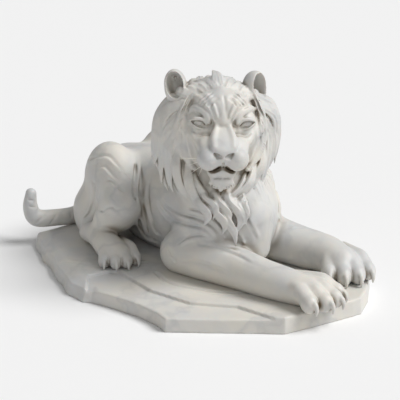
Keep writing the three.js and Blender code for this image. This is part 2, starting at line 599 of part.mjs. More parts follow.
// ---------------------------------------------------------------- facets
// Merges neighbouring points, the least noticeable first, down to `target` triangles.
// `weight(point)` says how much the shape matters there.
function facet({ points, faces }, target, weight = () => 1) {
  const count = points.length / 3;
  const at = (v) => [points[3 * v], points[3 * v + 1], points[3 * v + 2]];
  const around = Array.from({ length: count }, () => []);
  const quadric = new Float64Array(count * 10);
  const alive = new Uint8Array(faces.length / 3).fill(1);
  const stamp = new Int32Array(count);
  let left = faces.length / 3;
  const corners = (f) => [faces[3 * f], faces[3 * f + 1], faces[3 * f + 2]];
  const normal = (a, b, c) => cross(sub(b, a), sub(c, a));
  const shapely = (p, n) => size(n)
    / Math.max(size(sub(p[0], p[1])), size(sub(p[1], p[2])), size(sub(p[2], p[0]))) ** 2;
  for (let f = 0; f < left; f++) {
    const ids = corners(f);
    const p = ids.map(at);
    const n = normal(...p), area = size(n) || 1e-9, u = mul(n, 1 / area), d = -dot(u, p[0]);
    const w = area * weight(p[0]);
    const q = [u[0] * u[0], u[0] * u[1], u[0] * u[2], u[0] * d, u[1] * u[1], u[1] * u[2], u[1] * d, u[2] * u[2], u[2] * d, d * d];
    for (const v of ids) {
      around[v].push(f);
      for (let i = 0; i < 10; i++) quadric[10 * v + i] += q[i] * w;
    }
  }
  const error = (q, [x, y, z]) => q[0] * x * x + 2 * q[1] * x * y + 2 * q[2] * x * z + 2 * q[3] * x + q[4] * y * y
    + 2 * q[5] * y * z + 2 * q[6] * y + q[7] * z * z + 2 * q[8] * z + q[9];
  const place = (a, b) => {
    const q = Array.from({ length: 10 }, (_, i) => quadric[10 * a + i] + quadric[10 * b + i]);
    const pa = at(a), pb = at(b), middle = mul(add(pa, pb), 0.5);
    const ease = 1e-4 * (q[0] + q[4] + q[7]);   // keeps the solution near the edge where the surface is flat
    const m = [[q[0] + ease, q[1], q[2]], [q[1], q[4] + ease, q[5]], [q[2], q[5], q[7] + ease]];
    const r = [ease * middle[0] - q[3], ease * middle[1] - q[6], ease * middle[2] - q[8]];
    const det = dot(m[0], cross(m[1], m[2]));
    let best = middle;
    if (Math.abs(det) > 1e-12) {
      const solved = [dot(r, cross(m[1], m[2])) / det, dot(m[0], cross(r, m[2])) / det, dot(m[0], cross(m[1], r)) / det];
      if (size(sub(solved, middle)) < 2 * size(sub(pa, pb))) best = solved;
    }
    return [Math.max(error(q, best), 0) + 1e-3 * dot(sub(pa, pb), sub(pa, pb)), best];
  };
  // a heap of edges, cheapest on top
  const heap = [];
  const push = (item) => {
    let i = heap.length;
    heap.push(item);
    while (i > 0) {
      const parent = (i - 1) >> 1;
      if (heap[parent].cost <= item.cost) break;
      heap[i] = heap[parent];
      i = parent;
    }
    heap[i] = item;
  };
  const pop = () => {
    const top = heap[0], last = heap.pop();
    if (heap.length) {
      let i = 0;
      for (;;) {
        let child = 2 * i + 1;
        if (child >= heap.length) break;
        if (child + 1 < heap.length && heap[child + 1].cost < heap[child].cost) child++;
        if (heap[child].cost >= last.cost) break;
        heap[i] = heap[child];
        i = child;
      }
      heap[i] = last;
    }
    return top;
  };
  const enter = (a, b) => {
    const [cost, spot] = place(a, b);
    push({ cost, spot, a, b, sa: stamp[a], sb: stamp[b] });
  };
  const neighbours = (v) => {
    const set = new Set();
    for (const f of around[v]) for (const w of corners(f)) if (w !== v) set.add(w);
    return set;
  };
  const enterAll = () => {
    for (let f = 0; f < alive.length; f++) {
      if (!alive[f]) continue;
      const [a, b, c] = corners(f);
      if (a < b) enter(a, b);
      if (b < c) enter(b, c);
      if (c < a) enter(c, a);
    }
  };
  let rounds = 0, before = Infinity;
  while (left > target) {
    if (!heap.length) {
      if (rounds++ > 8 || before - left < 4) break;
      before = left;
      enterAll();
    }
    const { spot, a, b, sa, sb } = pop();
    if (stamp[a] !== sa || stamp[b] !== sb || !around[a].length || !around[b].length) continue;
    const na = neighbours(a), nb = neighbours(b);
    if (!na.has(b)) continue;
    let shared = 0;
    for (const v of na) if (nb.has(v)) shared++;
    if (shared !== 2) continue;
    const fits = (v, other) => around[v].every((f) => {
      const ids = corners(f);
      if (ids.includes(other)) return true;
      const old = ids.map(at);
      const now = ids.map((w) => (w === v ? spot : at(w)));
      const was = normal(...old), is = normal(...now);
      const thin = shapely(now, is);
      if (size(was) < TINY_FACET) return size(is) < TINY_FACET || thin > 0.05;
      return dot(was, is) > 0.2 * size(was) * size(is) && (thin > 0.08 || thin > shapely(old, was));
    });
    if (!fits(a, b) || !fits(b, a)) continue;
    for (let i = 0; i < 3; i++) points[3 * a + i] = spot[i];
    for (let i = 0; i < 10; i++) quadric[10 * a + i] += quadric[10 * b + i];
    const kept = around[a].filter((f) => !corners(f).includes(b));
    for (const f of around[b]) {
      const ids = corners(f);
      if (ids.includes(a)) {
        alive[f] = 0;
        left--;
        for (const v of ids) if (v !== a && v !== b) around[v] = around[v].filter((g) => g !== f);
      } else {
        faces[3 * f + ids.indexOf(b)] = a;
        kept.push(f);
      }
    }
    around[a] = kept;
    around[b] = [];
    stamp[a]++;
    stamp[b]++;
    for (const v of neighbours(a)) enter(Math.min(a, v), Math.max(a, v));
  }
  const ids = new Map(), outPoints = [], outFaces = [];
  for (let f = 0; f < alive.length; f++) {
    if (!alive[f]) continue;
    for (const v of corners(f)) {
      if (!ids.has(v)) { ids.set(v, outPoints.length / 3); outPoints.push(...at(v)); }
      outFaces.push(ids.get(v));
    }
  }
  return { points: outPoints, faces: outFaces };
}

// Puts points that are within `slack` of a level on it, so that a sawn face is truly flat.
function level(shape, z, slack) {
  for (let i = 2; i < shape.points.length; i += 3) if (Math.abs(shape.points[i] - z) < slack) shape.points[i] = z;
  return shape;
}

function mesh(name, { points, faces }, colour, roughness = 0.45) {
  const geometry = new THREE.BufferGeometry();
  geometry.setAttribute('position', new THREE.Float32BufferAttribute(points, 3));
  geometry.setIndex(Array.from(faces));
  const material = new THREE.MeshStandardMaterial({ color: colour, roughness, metalness: 0 });
  const result = new THREE.Mesh(geometry, material);
  result.name = name;
  return result;
}

// ---------------------------------------------------------------- the carved cat
function makeTiger() {
  const clay = new Clay([-1024, -480, -1.5 * CLAY_STEP], [584, 424, 848], CLAY_STEP);
  body(clay);
  maneMass(clay);
  face(clay);
  ears(clay);
  folds(clay);
  mane(clay);
  freeLocks(clay);
  clay.each([-1e4, -1e4, -1e4], [1e4, 1e4, 1e4], (i, p) => { clay.field[i] = Math.max(clay.field[i], -p[2]); });
  const carved = largestShell(surface(clay));
  const weight = (p) => {
    const q = sub(p, EYE_LINE);
    const [f, l, u] = HEAD.map((axis) => dot(q, axis));
    if (p[2] < 3) return 4;
    if (Math.hypot((f - 20) / 110, l / 140, (u + 60) / 160) < 1) return 7;
    if (Math.hypot(f + 125, Math.abs(l) - 152, u - 104) < 75) return 5;
    if (Math.hypot(f + 120, l, (u + 100) * 0.8) < 280) return 2;
    return 1;
  };
  return mesh('tiger', level(facet(carved, TIGER_TRIANGLES, weight), 0, 2.5), MARBLE_WHITE);
}

// ---------------------------------------------------------------- the slab
const SLAB_OUTLINE = [[-896, -322], [-800, -388], [-734, -422], [-569, -486], [-400, -560], [-316, -572], [-290, -548], [-158, -522], [-68, -510],
  [30, -512], [95, -528], [225, -400], [345, -280], [400, -228], [430, -90], [459, 65], [462, 105], [405, 205], [320, 310], [150, 380],
  [-150, 410], [-500, 400], [-760, 330], [-850, 150], [-900, -150]];
// the lower terrace in front of the near legs
const TERRACE = [[-290, -640], [-300, -570], [-386, -488], [-376, -420], [-347, -372], [-125, -407], [65, -381], [208, -275],
  [383, -252], [460, -262], [460, -700], [-290, -700]];

function makeSlab() {
  const stretch = 2;   // the grid is twice as fine upwards
  const low = [-980, -640, -SLAB_THICKNESS * stretch - 1.5 * SLAB_CLAY_STEP], high = [540, 480, 30];
  const clay = new Clay(low, high, SLAB_CLAY_STEP);
  const ring = curve([...SLAB_OUTLINE, SLAB_OUTLINE[0]].map(([x, y]) => [x, y, 0]), 4);
  const terrace = [...TERRACE, TERRACE[0]].map(([x, y]) => [x, y, 0]);
  // distance in plan to a closed line, negative inside it
  const signed = (line, x, y) => {
    let best = Infinity, inside = false;
    for (let i = 0; i < line.length - 1; i++) {
      const a = line[i], b = line[i + 1];
      best = Math.min(best, segment([x, y, 0], a, b)[0]);
      if ((a[1] > y) !== (b[1] > y) && x < (b[0] - a[0]) * (y - a[1]) / (b[1] - a[1]) + a[0]) inside = !inside;
    }
    return (inside ? -1 : 1) * Math.sqrt(best);
  };
  const plan = new Map();
  clay.each(low, high, (index, p) => {
    const key = `${Math.round(p[0])},${Math.round(p[1])}`;
    if (!plan.has(key)) {
      const out = signed(ring, p[0], p[1]) + 4 * Math.sin(p[0] / 43 + p[1] / 61);
      const rim = 6 * smooth((out + 36) / 40) * (p[0] < -300 ? 2 : 1);
      const drop = SLAB_STEP * smooth((7 - signed(terrace, p[0], p[1])) / 14);
      plan.set(key, [out, -rim - drop]);
    }
    const [out, top] = plan.get(key);
    const z = p[2] / stretch;
    const below = -SLAB_THICKNESS - z;
    clay.field[index] = Math.max(below * stretch, -softMin(-(out + 0.12 * z), -(z - top) * stretch, 14));
  });
  const shape = largestShell(surface(clay));
  for (let i = 2; i < shape.points.length; i += 3) shape.points[i] /= stretch;
  return mesh('plinth', level(level(facet(shape, SLAB_TRIANGLES), -SLAB_THICKNESS, 2), 0, 1), MARBLE_WHITE, 0.5);
}

// ---------------------------------------------------------------- whiskers
// root and tip of each, head frame; they stand on the right side of the muzzle only
const WHISKERS = [
  [[60, -93, -115], [62, -161, -118]],
  [[60, -93, -131], [62, -124, -142]],
  [[60, -84, -150], [62, -120, -178]],
  [[66, -70, -140], [68, -86, -180]],
];
const WHISKER_GAP = 0.6;

// Where a line first meets the facets of a mesh.
function firstHit(target, from, way) {
  const ray = new THREE.Raycaster(new THREE.Vector3(...from), new THREE.Vector3(...way));
  const hit = ray.intersectObject(target, false)[0];
  return hit ? hit.point.toArray() : null;
}

function makeWhisker(index, tiger) {
  const [root, tip] = WHISKERS[index].map((p) => onHead(...p));
  const inward = unit(sub(root, tip));
  const skin = firstHit(tiger, tip, inward) || root;
  const start = sub(skin, mul(inward, WHISKER_GAP));
  const length = size(sub(start, tip));
  const r = WHISKER_DIAMETER / 2;
  const profile = [[0, 0], [r * 0.35, 0.01], [r, length * 0.12], [r * 0.85, length * 0.6], [0, length]];
  const rod = new THREE.LatheGeometry(profile.map(([x, y]) => new THREE.Vector2(x, y)), 6);
  rod.applyQuaternion(new THREE.Quaternion().setFromUnitVectors(new THREE.Vector3(0, 1, 0),
    new THREE.Vector3(...mul(inward, -1))));
  rod.translate(...start);
  const piece = new THREE.Mesh(rod, new THREE.MeshStandardMaterial({ color: WHISKER_WHITE, roughness: 0.5 }));
  piece.name = `whisker_right_${index + 1}`;
  return piece;
}

// ---------------------------------------------------------------- assembly
function build() {
  const group = new THREE.Group();
  group.name = 'marble_tiger_statue';
  const tiger = makeTiger();
  group.add(tiger, makeSlab(), ...WHISKERS.map((_, i) => makeWhisker(i, tiger)));
  // the slab's underside on z = 0 and the whole centred over the origin
  const box = new THREE.Box3().setFromObject(group);
  const middle = box.getCenter(new THREE.Vector3());
  group.children.forEach((child) => child.geometry.translate(-middle.x, -middle.y, -box.min.z));
  return group;
}

export default build();
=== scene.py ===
# %% [markdown]
# # A reclining big cat in white marble
#
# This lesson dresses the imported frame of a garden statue: a big cat with tiger folds on its
# face and a thick mane, carved from one block, on a low slab of the same stone. Its gaze,
# locks and drapery-like folds are what a viewer sees first, so they are carved for real here
# and not drawn in a material.

# %% Load the frame
import math

import bmesh
import bpy
import numpy as np
from mathutils import Matrix, Vector


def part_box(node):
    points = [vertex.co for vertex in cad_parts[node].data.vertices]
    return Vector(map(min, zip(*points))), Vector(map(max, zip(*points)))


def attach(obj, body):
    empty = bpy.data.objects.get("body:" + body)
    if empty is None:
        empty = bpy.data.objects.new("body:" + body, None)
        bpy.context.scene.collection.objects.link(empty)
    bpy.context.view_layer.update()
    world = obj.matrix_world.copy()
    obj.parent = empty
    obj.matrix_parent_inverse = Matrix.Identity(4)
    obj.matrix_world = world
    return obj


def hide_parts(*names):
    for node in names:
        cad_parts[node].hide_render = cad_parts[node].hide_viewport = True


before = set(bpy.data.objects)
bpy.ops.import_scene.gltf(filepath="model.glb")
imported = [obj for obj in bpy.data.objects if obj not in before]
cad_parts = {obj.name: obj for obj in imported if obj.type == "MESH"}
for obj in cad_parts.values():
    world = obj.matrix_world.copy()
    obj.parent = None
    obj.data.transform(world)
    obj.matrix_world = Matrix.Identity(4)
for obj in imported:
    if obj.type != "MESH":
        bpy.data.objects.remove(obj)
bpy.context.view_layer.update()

# %% [markdown]
# ## Sizes
#
# Everything is laid out in millimetres in the statue's own layout: z = 0 is the top of the
# slab, y = 0 the middle of the body, +X the way it faces. The head has a frame of its own,
# turned to the animal's right: (f, l, u) is forward, left and up from the point between the
# eyes.

# %% Driving sizes
MM = 0.001
SLAB_THICKNESS = 65
SLAB_STEP = 12
TRUNK_RADIUS = 175
TRUNK_HEIGHT = 197
TAIL_RADIUS = 35
HEAD_YAW = -40
HEAD_ROLL = -2
EYE_LINE = np.array([-16.5, -141.0, 610.0])
PAW_NEAR = 1.16
PAW_FAR = 1.16
PAW_HIND = 0.92
MANE_LIFT = 10
LOCK_THICKNESS = 8
MANE_CENTRE = (-250, 0, -100)
MANE_RADIUS = 270
GRID = 3.0                # step of the grid that the cat is carved on
SLAB_GRID = 4
CAT_FACES = 188000        # triangles kept on the cat
SLAB_FACES = 60000

# %% [markdown]
# ## A few helpers
#
# A turned frame, a smooth curve through points, and a repeatable scatter are all the geometry
# that the carving needs.

# %% Frames and curves
def turn(yaw=0, pitch=0, roll=0):
    """Axes (forward, left, up), one per row: yaw to the left, nose up, left side up."""
    cy, cp, cr = (math.cos(math.radians(a)) for a in (yaw, pitch, roll))
    sy, sp, sr = (math.sin(math.radians(a)) for a in (yaw, pitch, roll))
    return np.array([
        [cy * cp, sy * cp, sp],
        [-sy * cr - cy * sp * sr, cy * cr - sy * sp * sr, cp * sr],
        [sy * sr - cy * sp * cr, -cy * sr - sy * sp * cr, cp * cr],
    ])


def curve(points, n=6):
    """A smooth line through the points, n steps from each to the next."""
    p = np.array(points, float)
    q = np.vstack([2 * p[0] - p[1], p, 2 * p[-1] - p[-2]])
    t = np.linspace(0, 1, n, endpoint=False)[:, None]
    parts = [
        0.5 * (2 * q[i] + (q[i + 1] - q[i - 1]) * t
               + (2 * q[i - 1] - 5 * q[i] + 4 * q[i + 1] - q[i + 2]) * t**2
               + (3 * q[i] - q[i - 1] - 3 * q[i + 1] + q[i + 2]) * t**3)
        for i in range(1, len(q) - 2)
    ]
    return np.vstack(parts + [p[-1:]])


def spread(values, count):
    """Values given at the points of a curve, spread over its finer steps."""
    return np.interp(np.linspace(0, len(values) - 1, count), range(len(values)), values)


def unit(v):
    return v / np.maximum(np.linalg.norm(v, axis=-1, keepdims=True), 1e-9)


def smooth(t):
    t = np.clip(t, 0, 1)
    return t * t * (3 - 2 * t)


def scatter(i):
    """A number between 0 and 1 that is the same every time."""
    v = math.sin(i * 12.9898 + 4.1) * 43758.5453
    return v - math.floor(v)


# %% [markdown]
# ## The photograph's point of view
#
# Where the camera stood decides which point of the stone a spot in the picture shows. Lines
# that run over the body in no simple way are given as spots in the picture, and each spot is
# followed along its ray until it meets the stone.

# %% Camera numbers
VIEW_AZIMUTH = 47
VIEW_ELEVATION = 20
VIEW_DISTANCE = 6500
VIEW_AIM = np.array([0.0, -270.0, 350.0])
PHOTO_WIDTH = 400
PIXELS_TO_A_METRE = 275      # at the aim
FOCUS = PIXELS_TO_A_METRE * VIEW_DISTANCE * MM
azimuth, elevation = math.radians(VIEW_AZIMUTH), math.radians(VIEW_ELEVATION)
BACK = np.array([math.sin(azimuth) * math.cos(elevation), -math.cos(azimuth) * math.cos(elevation),
                 math.sin(elevation)])
RIGHT = np.array([math.cos(azimuth), math.sin(azimuth), 0.0])
UP = np.cross(BACK, RIGHT)


def seen(clay, x, y):
    """The point of the stone that the picture shows at pixel (x, y)."""
    half = PHOTO_WIDTH / 2
    way = -BACK + RIGHT * (x - half) / FOCUS + UP * (half - y) / FOCUS
    return clay.meet(VIEW_AIM + BACK * VIEW_DISTANCE + way * 5200, way, 2600)


# %% [markdown]
# ## Clay
#
# A carver starts with masses and works towards lines. The same can be done in a block of
# numbers: each grid point holds its distance to the surface, below zero inside the stone.
# Adding a form takes the smaller distance, cutting takes the larger, and a soft edge between
# the two blends them as clay does. Sculpting by primitives and modifiers would give forms
# that meet in hard seams, so this way is used for the stone.

# %% The block of clay
def soft_min(a, b, k):
    h = np.maximum(k - np.abs(a - b), 0) / k
    return np.minimum(a, b) - h * h * (k * 0.25)


def nearest(grid, a, b):
    """For each grid point: how far along the line from a to b its nearest place lies, from 0
    to 1, and the way from there to the point."""
    along = b - a
    q = [grid[j] - a[j] for j in range(3)]
    way = q[0] * along[0] + q[1] * along[1] + q[2] * along[2]
    t = np.clip(way / max(along @ along, 1e-6), 0, 1)
    return t, [q[j] - t * along[j] for j in range(3)]


class Clay:
    def __init__(self, low, high, step):
        self.low = np.array(low, float)
        self.step = step
        self.count = np.ceil((np.array(high) - self.low) / step).astype(int) + 1
        self.field = np.full(self.count, 500, np.float32)
        self.axes = [(self.low[i] + step * np.arange(self.count[i])).astype(np.float32)
                     for i in range(3)]

    def part(self, low, high):
        """The slice of the grid inside a box, and its coordinates."""
        first = np.clip(np.floor((low - self.low) / self.step).astype(int), 0, self.count - 1)
        last = np.clip(np.ceil((high - self.low) / self.step).astype(int) + 1, 1, self.count)
        cut = tuple(slice(first[i], last[i]) for i in range(3))
        grid = np.meshgrid(*(self.axes[i][cut[i]] for i in range(3)), indexing="ij", sparse=True)
        return cut, grid

    def blend(self, cut, value, soft, remove):
        old = self.field[cut]
        k = max(soft, 1)
        self.field[cut] = -soft_min(-old, value, k) if remove else soft_min(old, value, k)

    def ball(self, centre, radii, axes=np.eye(3), soft=20, remove=False):
        """An ellipsoid with half sizes along its own axes."""
        centre, radii = np.array(centre, float), np.array(radii, float)
        reach = np.sqrt(((axes * radii[:, None]) ** 2).sum(0)) + max(soft, 3 * self.step) + 10
        cut, grid = self.part(centre - reach, centre + reach)
        if self.field[cut].size == 0:
            return
        q = [grid[j] - centre[j] for j in range(3)]
        u = [q[0] * a[0] + q[1] * a[1] + q[2] * a[2] for a in axes]
        near = np.sqrt(sum((u[j] / radii[j]) ** 2 for j in range(3)))
        slope = np.sqrt(sum((u[j] / radii[j] ** 2) ** 2 for j in range(3)))
        self.blend(cut, (near * (near - 1) / np.maximum(slope, 1e-6)).astype(np.float32), soft, remove)

    def bar(self, path, radii, soft=10, remove=False, flat=None):
        """A round bar along a path. flat = (direction, factor) thins it that way."""
        path = np.array(path, float)
        radii = np.broadcast_to(np.array(radii, float), len(path))
        pad = max(soft, 3 * self.step) + 8
        cut, grid = self.part(path.min(0) - radii.max() - pad, path.max(0) + radii.max() + pad)
        if self.field[cut].size == 0:
            return
        value = np.full(self.field[cut].shape, 1000, np.float32)
        start = [s.start for s in cut]
        for a, b, ra, rb in zip(path[:-1], path[1:], radii[:-1], radii[1:]):
            reach = max(ra, rb) + pad
            own, g = self.part(np.minimum(a, b) - reach, np.maximum(a, b) + reach)
            inner = tuple(slice(own[i].start - start[i], own[i].stop - start[i]) for i in range(3))
            t, w = nearest(g, a, b)
            d = w[0] ** 2 + w[1] ** 2 + w[2] ** 2
            if flat:
                n, thin = flat
                d = d + (w[0] * n[0] + w[1] * n[1] + w[2] * n[2]) ** 2 * (1 / thin**2 - 1)
            d = (np.sqrt(d) - (ra + (rb - ra) * t)).astype(np.float32)
            value[inner] = np.minimum(value[inner], d)
        self.blend(cut, value, soft, remove)

    def bent(self, points, radii, soft=10, n=6, remove=False, flat=None):
        path = curve(points, n)
        self.bar(path, spread(radii, len(path)), soft, remove, flat)

    def at(self, p):
        """The distance at points between the grid's own."""
        g = np.clip((np.asarray(p, float) - self.low) / self.step, 0, self.count - 1.001)
        i = np.floor(g).astype(int)
        f = g - i
        total = 0
        for corner in range(8):
            b = [(corner >> j) & 1 for j in range(3)]
            w = np.prod([f[..., j] if b[j] else 1 - f[..., j] for j in range(3)], axis=0)
            total = total + w * self.field[i[..., 0] + b[0], i[..., 1] + b[1], i[..., 2] + b[2]]
        return total

    def slope(self, p, e=5.0):
        g = [self.at(p + np.eye(3)[j] * e) - self.at(p - np.eye(3)[j] * e) for j in range(3)]
        return unit(np.stack(g, -1))

    def meet(self, start, way, reach):
        """Where a straight line first meets the surface."""
        t = np.arange(0, reach, 1.5)
        p = np.asarray(start) + np.outer(t, way)
        v = self.at(p)
        hits = np.nonzero((v[1:] < 0) & (v[:-1] >= 0))[0]
        if not len(hits):
            return None
        i = hits[0]
        return p[i] + (p[i + 1] - p[i]) * v[i] / (v[i] - v[i + 1])

    def carve(self, path, width, depth, taper=0.25):
        """A soft groove, or a ridge where depth is below zero, along a line on the surface."""
        path = np.array(path, float)
        cut, grid = self.part(path.min(0) - width * 2.6, path.max(0) + width * 2.6)
        if len(path) < 2 or self.field[cut].size == 0:
            return
        lengths = np.linalg.norm(np.diff(path, axis=0), axis=1)
        passed = np.concatenate([[0], np.cumsum(lengths)])
        best = place = None
        for i, (a, b) in enumerate(zip(path[:-1], path[1:])):
            t, w = nearest(grid, a, b)
            d = sum(v ** 2 for v in w)
            s = (passed[i] + t * lengths[i]) / passed[-1]
            if best is None:
                best, place = d, s
            else:
                place = np.where(d < best, s, place)
                best = np.minimum(d, best)
        fade = smooth(np.minimum(place, 1 - place) / max(taper, 1e-3))
        self.field[cut] += (depth * fade * np.exp(-best / width**2)).astype(np.float32)


# %% [markdown]
# ## The head's frame
#
# The head turns to the animal's right, so its forms are placed in a frame that turns with it.

# %% Forms placed on the head
HEAD = turn(HEAD_YAW, 0, HEAD_ROLL)


def on_head(f, l, u):
    return EYE_LINE + f * HEAD[0] + l * HEAD[1] + u * HEAD[2]


def head_ball(clay, place, radii, soft=20, way=(0, 0, 0), remove=False):
    clay.ball(on_head(*place), radii, turn(*way) @ HEAD, soft, remove)


def head_bar(clay, points, radii, soft=10, remove=False, flat=None):
    clay.bent([on_head(*p) for p in points], radii, soft, 5, remove, flat)


# %% [markdown]
# ## Body and limbs
#
# The trunk is a barrel with a deep chest. Haunches stand as high as the back, the hind feet
# come forward beside the belly, and the forelegs lie stretched out, the near one straight
# ahead and the far one turned outwards.

# %% Paws
def paw(clay, at, heading, scale):
    def place(f, l, u, way):
        return np.array(at, float) + scale * (f * way[0] + l * way[1] + u * way[2])

    axes = turn(heading)
    clay.ball(place(-55, 0, 40, axes), np.array([85, 78, 36]) * scale, turn(heading, -12), 20)
    for side, forward, splay in ((-63, -22, -12), (-22, 4, -4), (22, 4, 4), (63, -22, 12)):
        way = turn(heading + splay)
        root = place(forward, side, 0, axes) - np.array(at, float)
        toe = [place(f, 0, u, way) + root for f, u in ((-150, 62), (-85, 63), (-40, 60), (-8, 42))]
        clay.bent(toe, np.array([12, 18, 24, 25]) * scale, 9, 4)
        clay.ball(place(8, 0, 30, way) + root, np.array([33, 26, 31]) * scale,
                  turn(heading + splay, -35), 4)
        claw = [place(f, 0, u, way) + root for f, u in ((24, 42), (40, 34), (47, 18), (45, 1))]
        clay.bent(claw, np.array([9, 9, 6.5, 2.4]) * scale, 2, 4)


# %% Trunk, legs and tail
def body(clay):
    z, r = TRUNK_HEIGHT, TRUNK_RADIUS
    clay.bent([(-700, 0, z - 2), (-560, 0, z + 3), (-400, 0, z - 2), (-250, 0, z + 3), (-110, 0, z - 7)],
              [r - 35, r - 10, r, r, r - 20], 20)
    clay.ball((-420, 0, 85), (330, 150, 120), soft=60)
    clay.ball((-100, 0, 190), (150, 155, 190), soft=60)
    clay.bent([(-130, 0, 240), (-130, -30, 360), (-140, -70, 540)], [130, 120, 120], 50)
    for s in (-1, 1):
        clay.ball((-140, s * 105, 240), (125, 75, 140), turn(0, -20), 50)
        clay.ball((-130, s * 150, 150), (95, 70, 120), turn(0, -30), 50)
        clay.ball((-630, s * 150, 225), (135, 105, 165), turn(s * 10, 12), 40)
        clay.ball((-540, s * 205, 200), (120, 75, 130), turn(s * 15, 20), 40)
        clay.ball((-690, s * 200, 100), (95, 75, 115), soft=40)
        clay.bent([(-470, s * 250, 200), (-520, s * 265, 130), (-560, s * 275, 65)], [75, 62, 45], 30)
        clay.bent([(-645, s * 265, 45), (-560, s * 285, 60), (-460, s * 325, 55), (-400, s * 335, 45)],
                  [40, 50, 52, 45], 20)
        paw(clay, (-365, s * 345, 0), s * 30, PAW_HIND)
    near_leg = [(-190, -180, 70), (-80, -165, 72), (60, -140, 64), (180, -125, 58),
                (280, -105, 54), (360, -85, 48)]
    clay.bent(near_leg, [88, 88, 79, 71, 66, 58], 30)
    clay.bent([(-160, 160, 72), (-40, 170, 72), (90, 185, 68), (190, 205, 66), (270, 200, 54)],
              [90, 84, 76, 72, 66], 30)
    paw(clay, (440, -60, 0), 4, PAW_NEAR)
    paw(clay, (335, 180, 0), -30, PAW_FAR)
    t = TAIL_RADIUS
    clay.bent([(-780, 20, 130), (-850, -40, 70), (-855, -160, 36), (-885, -260, 36), (-915, -320, 45),
               (-930, -335, 90), (-930, -330, 145)],
              [t + 15, t + 5, t - 1, t - 1, t + 1, t - 5, t - 13], 20)


# %% [markdown]
# ## The face
#
# Broad flat bridge, frowning folds over deep-set eyes, full whisker pads, and a mouth that
# turns down at its corners. Each is one or two forms, left and right alike.

# %% Eyes
EYE_BALL = (-38, 83, -1, 41)      # f, l, u of the middle, and the radius
UPPER_LID = ((52, -24), (60, -2), (70, 12), (84, 18), (102, 16), (119, 6))
LOWER_LID = ((53, -25), (70, -22), (88, -18), (104, -9), (118, 4))


def on_ball(s, l, u, out=1.0):
    f0, l0, u0, r = EYE_BALL
    return (f0 + math.sqrt(max((r * out) ** 2 - (l - l0) ** 2 - (u - u0) ** 2, 1)), s * l, u)


def eye(clay, s):
    f0, l0, u0, r = EYE_BALL
    head_ball(clay, (14, s * 84, -2), (28, 36, 21), 8, (s * 24, 0, s * 14), True)
    head_ball(clay, (22, s * 47, -6), (20, 12, 22), 8, (0, 0, s * 20), True)
    head_ball(clay, (f0, s * l0, u0), (r, r, r), 2)
    head_bar(clay, [on_ball(s, l, u, 1.10) for l, u in UPPER_LID], [4, 6, 7, 7.5, 6.5, 4], 4)
    head_bar(clay, [on_ball(s, l, u, 1.05) for l, u in LOWER_LID], [4, 5, 5.5, 5, 3], 4)


# %% Skull, bridge, muzzle, jaw
def face(clay):
    head_ball(clay, (-135, 0, 10), (130, 125, 110))
    head_ball(clay, (-60, 0, -30), (75, 130, 85), 50)
    head_ball(clay, (-50, 0, 45), (55, 88, 65), 40, (0, -30, 0))
    head_bar(clay, [(-66, -8, 104), (-32, -6, 82), (-10, -2, 48), (8, 0, 12)], [10, 9, 10, 12], 24)
    top = unit(0.42 * HEAD[0] + HEAD[2])
    head_bar(clay, [(-40, 0, 8), (0, 0, -16), (34, 0, -34), (64, 0, -51)],
             [30, 36, 42, 47], 16, flat=(top, 0.42))
    head_ball(clay, (35, 0, -100), (80, 80, 52), 26)
    for s in (1, -1):
        head_bar(clay, [(-6, s * 22, 2), (32, s * 29, -22), (70, s * 35, -44), (96, s * 35, -60)],
                 [12, 13, 14, 12], 12)
        head_ball(clay, (64, s * 49, -110), (58, 44, 46), 7, (s * 10, 6, 0))
        head_ball(clay, (78, s * 31, -109), (37, 31, 32), 6)
        head_ball(clay, (30, s * 60, -78), (45, 35, 35), 20)
        head_ball(clay, (-45, s * 92, -62), (52, 45, 42), 26)
        head_bar(clay, [(-54, s * 138, 0), (-38, s * 130, -36), (-14, s * 110, -62), (14, s * 82, -66),
                        (34, s * 60, -52)], [11, 18, 20, 16, 10], 10)
        head_ball(clay, (-60, s * 80, -120), (75, 50, 55), 40)
    head_ball(clay, (97, 0, -72), (22, 44, 19), 7, (0, -20, 0))
    head_ball(clay, (96, 0, -90), (22, 18, 20), 8)
    lip = [(46, 38, -176), (66, 25, -164), (77, 0, -157), (66, -25, -164), (46, -38, -176)]
    head_bar(clay, lip, [10, 12, 14, 12, 10], 8)
    head_ball(clay, (50, 0, -198), (42, 42, 34), 12)
    head_ball(clay, (0, 0, -155), (80, 62, 45), 26)
    for s in (1, -1):
        eye(clay, s)
        head_bar(clay, [(118, s * 11, -92), (111, s * 25, -88), (98, s * 42, -80)], [8, 10, 5], 2, True)
        head_bar(clay, [(110, s * 26, -100), (100, s * 44, -92), (76, s * 54, -70)], [3.5, 4.5, 3], 5, True)
        head_bar(clay, [(96, 0, -135), (90, s * 17, -142), (78, s * 36, -154), (58, s * 58, -165)],
                 [11, 12, 12, 8], 3, True)
        head_bar(clay, [(70, 0, -140), (64, s * 20, -148), (54, s * 40, -160)], [11, 11, 7], 2, True)


# %% Folds of the brow, laid on the skin
BROW_FOLDS = (
    (((122, 28), (104, 44), (84, 47), (68, 40), (56, 24), (49, 4)), (7, 12, 14, 13, 10, 6), 9, 9),
    (((98, 76), (76, 76), (58, 62), (46, 42), (38, 18)), (8, 13, 14, 12, 7), 7, 12),
    (((62, 94), (44, 84), (32, 62), (24, 36)), (8, 12, 12, 8), 5, 12),
)


def on_skin(clay, l, u, depth=0.0):
    p = clay.meet(on_head(250, l, u), -HEAD[0], 550)
    return p - HEAD[0] * depth


def brow(clay):
    for points, radii, rise, soft in BROW_FOLDS:
        for s in (1, -1):
            path = [on_skin(clay, s * l, u, r - rise) for (l, u), r in zip(points, radii)]
            clay.bent(path, radii, soft, 6)


# %% Ears
EAR_PLACES = ((1, 130, 42), (-1, -172, -12))     # side, l of the middle, yaw


